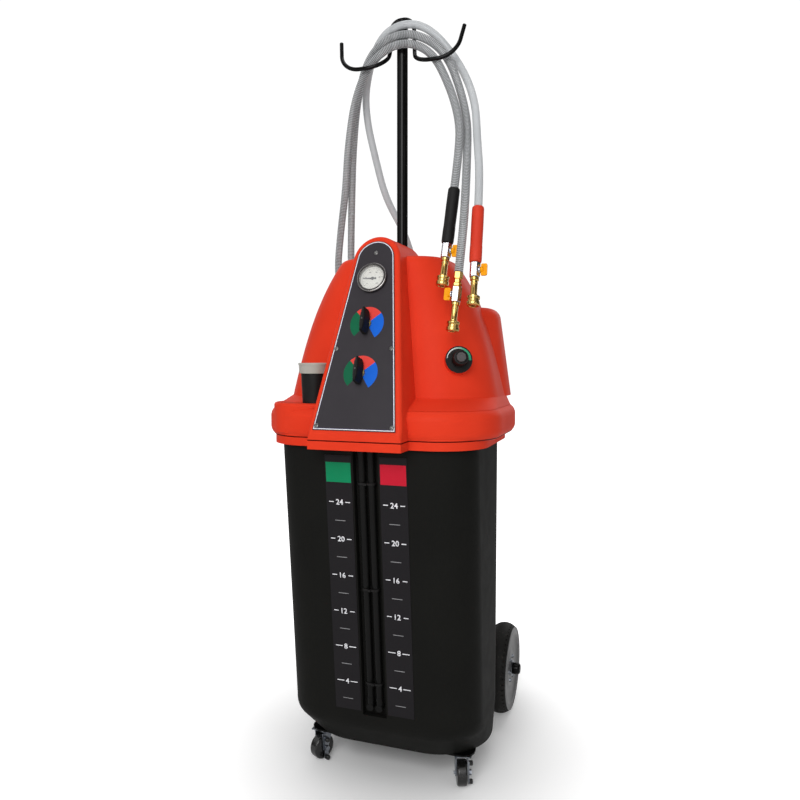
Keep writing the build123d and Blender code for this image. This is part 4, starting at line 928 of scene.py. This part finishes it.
for side, wheel in ((1, "right"), (-1, "left")):
    place = plane_matrix((side * wheel_inner_x, axle_y, wheel_r), (0, 1, 0), (side, 0, 0))
    wheel_places.append(place)
    wheel_disc = copies(disc, f"{wheel}_wheel_disc", [place])
    dressed(wheel_disc, rim_grey, f"{wheel}_wheel")
    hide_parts(f"{wheel}_wheel_rim")
    bolts = copies(plated, f"{wheel}_wheel_bolts", [place])
    dressed(bolts, zinc_plate, f"{wheel}_wheel")
caps = dressed(copies(hub_cap, "domed_hub_caps", wheel_places), black_gloss)
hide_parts("hub_caps")
discard(disc, bolt, plated, hub_cap)

# Caster brakes: a flat lever with a round-ended pad at each end, clear of the floor
caster_x = 143 * mm
caster_y = -108 * mm
caster_turns = {"right": -70, "left": -115}
brake_pivot = (16 * mm, 12.9 * mm, 24.5 * mm)
lever_half = 5 * mm
lever_reach = 18.5 * mm
lever_thickness = 2 * mm
lever_eye_r = 3.1 * mm
end_steps = 16
eye_sides = 24
lever_loop = [
    clock(lever_half, start + 180 * step / end_steps, (0, end * lever_reach))
    for end, start in ((1, 270), (-1, 90)) for step in range(end_steps + 1)
]
eye_loop = [clock(lever_eye_r, 360 * step / eye_sides) for step in range(eye_sides)]
lever = flat_shape("lever", [lever_loop, eye_loop], at_origin, thickness=lever_thickness)
lever_edge = lever.modifiers.new("edge", "BEVEL")
lever_edge.width = 0.4 * mm
lever_edge.segments = 2
apply_all(lever)
smooth(lever)
pad_rows = [(2.1, 4.4), (2.8, 4.8), (7.6, 4.8), (8.6, 4.3), (8.9, 3.6), (8.9, 0.5)]
pad = turned("pad", pad_rows, at_origin, sides=28, knurl=(3, 7.4, -0.2))
pad_pair = copies(
    pad, "pad_pair", [Matrix.Translation((0, end * lever_reach, 0)) for end in (-1, 1)]
)
for name, side in (("right", 1), ("left", -1)):
    swivel = Matrix.Rotation(math.radians(caster_turns[name]), 4, "Z")
    caster = Matrix.Translation((side * caster_x, caster_y, 0)) @ swivel
    place = caster @ plane_matrix(brake_pivot, (1, 0, 0), (0, 1, 0))
    brake = copies(lever, f"{name}_brake_lever", [place])
    dressed(brake, zinc_plate, f"{name}_brake")
    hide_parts(f"{name}_caster_brake")
    pads = copies(pad_pair, f"{name}_brake_pads", [place])
    dressed(pads, caster_black, f"{name}_brake")
discard(lever, pad, pad_pair)

# Dark strip round the brim along its parting line, lying on the cover's own outer face: painted
# shade of the groove there
seam_low = 683 * mm
seam_high = 684.9 * mm
seam_thickness = 0.3 * mm
cover_middle_y = -80 * mm
seam = added("brim_groove_shade", nodes["top_cover"].data.copy())
only(seam)
mode("EDIT")
bpy.ops.mesh.select_all(action="SELECT")
bpy.ops.mesh.remove_doubles(threshold=0.001 * mm)
for height in (seam_low, seam_high):
    bpy.ops.mesh.select_all(action="SELECT")
    bpy.ops.mesh.bisect(plane_co=(0, 0, height), plane_no=(0, 0, 1))
mode("OBJECT")


def off_the_seam(middle, normal):
    outward = normal.x * middle.x + normal.y * (middle.y - cover_middle_y) > 0
    return not (seam_low < middle.z < seam_high and outward)


pick_faces(seam, off_the_seam)
bpy.ops.mesh.delete(type="FACE")
bpy.ops.mesh.customdata_custom_splitnormals_clear()
mode("OBJECT")
thicken(seam, seam_thickness)
smooth(seam)
settle(seam, "brim_groove_shade")
dressed(seam, groove_shade_red)

# Push-on cap of the fill neck: a thin lip over a skirt that narrows downward
neck_mouth = (-108 * mm, -231 * mm, 815.3 * mm)
fill_cap_rows = [
    (0.2, 0.5), (0.2, 26.5), (-15.5, 26.5), (-15.5, 28.2), (-14.8, 28.4), (-1, 29.2), (-0.2, 29.6),
    (0.4, 30.3), (2.9, 30.5), (3.5, 30.2), (3.5, 29.2), (1.8, 28.6), (1.6, 27), (1.6, 0.5),
]
fill_cap = turned("push_on_cap", fill_cap_rows, Matrix.Translation(neck_mouth), sides=72)
dressed(fill_cap, cap_white, "cap")
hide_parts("fill_cap")

# Regulator knob: ribbed round body and a grey eight-sided face
regulator_rows = [
    (15.5, 0.5), (15.5, 4.4), (2.9, 4.4), (2.9, 13.6), (3.6, 14.4), (5, 14.5), (23.5, 13.6),
    (25.6, 12.8), (26.4, 11.4), (26.4, 9.8), (25.6, 9.4), (25.6, 0.5),
]
face_rows = [(25.6, 9.0), (28.4, 8.8), (29.2, 8.0), (29.2, 5.6), (28.7, 5.2), (28.7, 0.5)]
regulator_knob = turned(
    "regulator_knob_body", regulator_rows, regulator_place, sides=32, knurl=(5.2, 23.2, -0.35)
)
dressed(regulator_knob, black_plastic, "regulator_knob")
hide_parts("pressure_knob")
regulator_face = turned("regulator_knob_face", face_rows, regulator_place, sides=8)
dressed(regulator_face, grey_plastic, "regulator_knob")

# Pointer knobs of the selectors, each with a dot at its middle, a set screw whose light grey is a
# painted highlight.
# A step is a rise in millimetres and the share of the outline kept across and along. The oval is
# drawn flat beyond its cut.
leaf_foot = 5.3 * mm
leaf_half_width = 6.9 * mm
leaf_half_length = 24.8 * mm
leaf_cut_y = -21.5 * mm
leaf_end_y = -22.5 * mm
leaf_end_share = (1.3, 0.08, 1)
leaf_steps = (
    (1.2, 1.0, 1.0), (1.0, 0.9, 0.985), (15.0, 0.8, 0.96), (2.6, 0.86, 0.97), (1.2, 0.84, 0.96),
)
dish_rim = 0.7 * mm
dish_depth = 0.35 * mm
dot_rows = [(25.8, 1.5), (26.6, 1.5), (26.9, 1.1), (26.9, 0.6)]


def leaf_knob(name, place):
    """A pointer knob: an oval cut flat at its foot, drawn up and in, with a dished face."""
    deselect()
    bpy.ops.mesh.primitive_circle_add(
        vertices=40, radius=1, fill_type="NGON", location=(0, 0, leaf_foot)
    )
    knob = bpy.context.object
    mode("EDIT")
    bpy.ops.mesh.select_all(action="SELECT")
    bpy.ops.transform.resize(
        value=(leaf_half_width, leaf_half_length, 1), center_override=(0, 0, 0)
    )
    bpy.ops.mesh.select_mode(type="VERT")
    bpy.ops.mesh.select_all(action="DESELECT")
    mode("OBJECT")
    for vertex in knob.data.vertices:
        vertex.select = vertex.co.y < leaf_cut_y
    mode("EDIT")
    bpy.ops.transform.resize(value=leaf_end_share, center_override=(0, leaf_end_y, 0))
    bpy.ops.mesh.select_mode(type="FACE")
    bpy.ops.mesh.select_all(action="SELECT")
    for rise, across, along in leaf_steps:
        bpy.ops.mesh.extrude_region_move(TRANSFORM_OT_translate={"value": (0, 0, rise * mm)})
        bpy.ops.transform.resize(value=(across, along, 1), center_override=(0, 0, 0))
    bpy.ops.mesh.inset(thickness=dish_rim, depth=-dish_depth)
    bpy.ops.mesh.select_all(action="SELECT")
    bpy.ops.mesh.normals_make_consistent(inside=False)
    mode("OBJECT")
    settle(knob, name)
    smooth(knob, angle=40)
    knob.data.transform(place)
    return knob


for name, height in selector_heights.items():
    knob_place = panel_place @ Matrix.Translation((0, height, 0))
    knob = leaf_knob(f"{name}_pointer_knob", knob_place)
    dressed(knob, black_plastic, f"{name}_knob")
    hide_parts(f"{name}_selector_knob")
    # The dot's light grey is a painted highlight on the set screw
    dot = turned(f"{name}_screw_highlight_dot", dot_rows, knob_place, sides=16)
    dressed(dot, grey_plastic, f"{name}_knob")

# Printed border of the panel: two sides that run tangent into the round top
panel_length = 361 * mm
panel_foot_half_width = 77 * mm
panel_top_r = 36 * mm
panel_centre = panel_length - panel_top_r
panel_reach = math.hypot(panel_foot_half_width, panel_centre)
side_lean = math.acos(panel_top_r / panel_reach) - math.atan2(panel_centre, panel_foot_half_width)
top_steps = 48
border_edges = (1.3 * mm, 2.6 * mm, 3.2 * mm)


def half_width(height, radius=panel_top_r):
    """Half the width between the sides at a height, where the round top has a radius."""
    return (radius - (height - panel_centre) * math.sin(side_lean)) / math.cos(side_lean)


def panel_loop(inset):
    """The panel's outline drawn in on every side."""
    radius = panel_top_r - inset
    foot = half_width(inset, radius)
    points = [(-foot, inset), (foot, inset)]
    for step in range(top_steps + 1):
        turn = side_lean + (math.pi - 2 * side_lean) * step / top_steps
        points.append((radius * math.cos(turn), panel_centre + radius * math.sin(turn)))
    return points


def panel_print(name, loops, material):
    return dressed(flat_shape(name, loops, panel_place), material)


edge, middle, inside = (panel_loop(inset) for inset in border_edges)
panel_print("panel_border_line", [edge, middle], white_print)
panel_print("panel_border_inner_line", [middle, inside], violet_print)

# Panel screws: pan heads with a dished recess
screw_edge = 6 * mm
screw_rows = (7.5 * mm, 0.4155 * panel_length)
top_screw = panel_length - 24 * mm
screw_head_rows = [
    (0.1, 3.9), (0.6, 4.2), (1.2, 3.8), (1.65, 2.9), (1.8, 2.1), (1.1, 1.5), (0.9, 0.9), (0.9, 0.3),
]
screw_spots = [(0, top_screw)] + [
    (side * (half_width(height) - screw_edge), height) for height in screw_rows for side in (-1, 1)
]
screw = turned("screw", screw_head_rows, at_origin, sides=24)
screw_heads = copies(
    screw, "panel_screw_heads",
    [panel_place @ Matrix.Translation((x, y, 0)) for x, y in screw_spots],
)
discard(screw)
dressed(screw_heads, screw_steel)
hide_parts("panel_screws")

# Selector discs: three coloured sectors each, from one clock angle to another
sector_r = 32 * mm
sector_inner_r = 8.5 * mm
sectors = (
    ("green", -138, -44, green_print), ("red", -44, 51, red_print), ("blue", 51, 146, blue_print),
)
for name, height in selector_heights.items():
    for tone, start, end, print_colour in sectors:
        loop = arc_band(sector_inner_r, sector_r, start, end, (0, height))
        panel_print(f"{name}_{tone}_sector", [loop], print_colour)

# Gauge dial: ticks round three quarters of a turn, and plain numbers. A tick has an inner
# radius and half a width for each tenth step, each fifth step and the others.
gauge_place = panel_place @ Matrix.Translation((0, gauge_height, 0))
dial_face = 1.0 * mm
dial_first = -135
dial_turn = 270
dial_steps = 50
dial_numbers = range(0, 101, 20)
dial_number_r = 13.6 * mm
dial_number_height = 2.7 * mm
dial_number_weight = 0.012
tick_outer_r = 20.8 * mm
tick_middle_r = 20 * mm
tick_kinds = ((10, 17.0 * mm, 0.3 * mm), (5, 18.4 * mm, 0.16 * mm), (1, 19.4 * mm, 0.16 * mm))
needle_hub_rows = [(1.4, 2.6), (2.9, 2.6), (3.4, 2.1), (3.4, 0.4)]
needle_hub = turned("needle_hub", needle_hub_rows, gauge_place, sides=24)
dressed(needle_hub, black_print, "needle")
ticks = []
for step in range(dial_steps + 1):
    angle = dial_first + dial_turn * step / dial_steps
    inner, half = next(kind[1:] for kind in tick_kinds if step % kind[0] == 0)
    spread = math.degrees(half / tick_middle_r)
    ticks.append(arc_band(inner, tick_outer_r, angle - spread, angle + spread, steps=1))
dial_parts = [flat_shape("gauge_ticks", ticks, gauge_place, dial_face)]
for index, number in enumerate(dial_numbers):
    at = clock(dial_number_r, dial_first + dial_turn * index / (len(dial_numbers) - 1))
    dial_parts.append(
        numeral(
            f"dial_number_{index}", str(number), dial_number_height, gauge_place, at, dial_face,
            dial_number_weight,
        )
    )
dressed(joined(dial_parts, "gauge_print"), black_print)

# Pressure regulator: a crescent that widens inwards as it runs from white into green
plate_face = 2.5 * mm
crescent_start = -84
crescent_end = 94
crescent_outer_r = 22.2 * mm
white_end_r = 21.2 * mm
green_end_r = 17.6 * mm
green_from = -30
green_over = 55
crescent_loop = arc_band(
    white_end_r, crescent_outer_r, crescent_start, crescent_end, steps=60, inner_end=green_end_r
)
crescent = flat_shape("regulator_arc", [crescent_loop], regulator_place, plate_face)
along = crescent.data.attributes.new("along", "FLOAT", "POINT")
from_plate = regulator_place.inverted()
for index, vertex in enumerate(crescent.data.vertices):
    spot = from_plate @ vertex.co
    turn = math.degrees(math.atan2(spot.x, spot.y))
    along.data[index].value = min(1.0, max(0.0, (turn - green_from) / green_over))
dressed(crescent, crescent_print)

# Level scales down the front of the tank: a coloured plate, numbers between dashes, and ticks.
# A dash starts further from a number of two digits.
strip_x = 53 * mm
strip_face = 1.0 * mm
plate_half = 24.5 * mm
plate_low_z = 602 * mm
plate_high_z = 639 * mm
scale_numbers = (24, 20, 16, 12, 8, 4)
scale_number_height = 10.6 * mm
scale_number_weight = 0.018
mark_step = 70 * mm
top_mark_z = 565 * mm
dash_outer = 20.8 * mm
dash_inner = {1: 6.6 * mm, 2: 11.6 * mm}
dash_half = 0.8 * mm
scale_tick_reach = 10.2 * mm
scale_tick_half = 0.55 * mm
for name, side, plate in (("left", -1, green_plate), ("right", 1, red_plate)):
    middle = side * strip_x
    plate_loop = bar(
        middle - plate_half, plate_low_z * front_slope, middle + plate_half,
        plate_high_z * front_slope,
    )
    scale_plate = flat_shape(f"{name}_scale_plate", [plate_loop], front_place, strip_face)
    dressed(scale_plate, plate)
    white_parts, tick_loops = [], []
    for index, number in enumerate(scale_numbers):
        height = (top_mark_z - index * mark_step) * front_slope
        white_parts.append(
            numeral(
                f"{name}_number_{number}", str(number), scale_number_height, front_place,
                (middle, height), strip_face, scale_number_weight,
            )
        )
        near = dash_inner[len(str(number))]
        low, high = height - dash_half, height + dash_half
        dashes = [
            bar(middle - dash_outer, low, middle - near, high),
            bar(middle + near, low, middle + dash_outer, high),
        ]
        white_parts.append(flat_shape(f"{name}_dash_{number}", dashes, front_place, strip_face))
        between = height - mark_step / 2 * front_slope
        tick_loops.append(
            bar(
                middle - scale_tick_reach, between - scale_tick_half, middle + scale_tick_reach,
                between + scale_tick_half,
            )
        )
    dressed(joined(white_parts, f"{name}_scale_numbers"), white_print)
    scale_ticks = flat_shape(f"{name}_scale_ticks", tick_loops, front_place, strip_face)
    dressed(scale_ticks, grey_print)
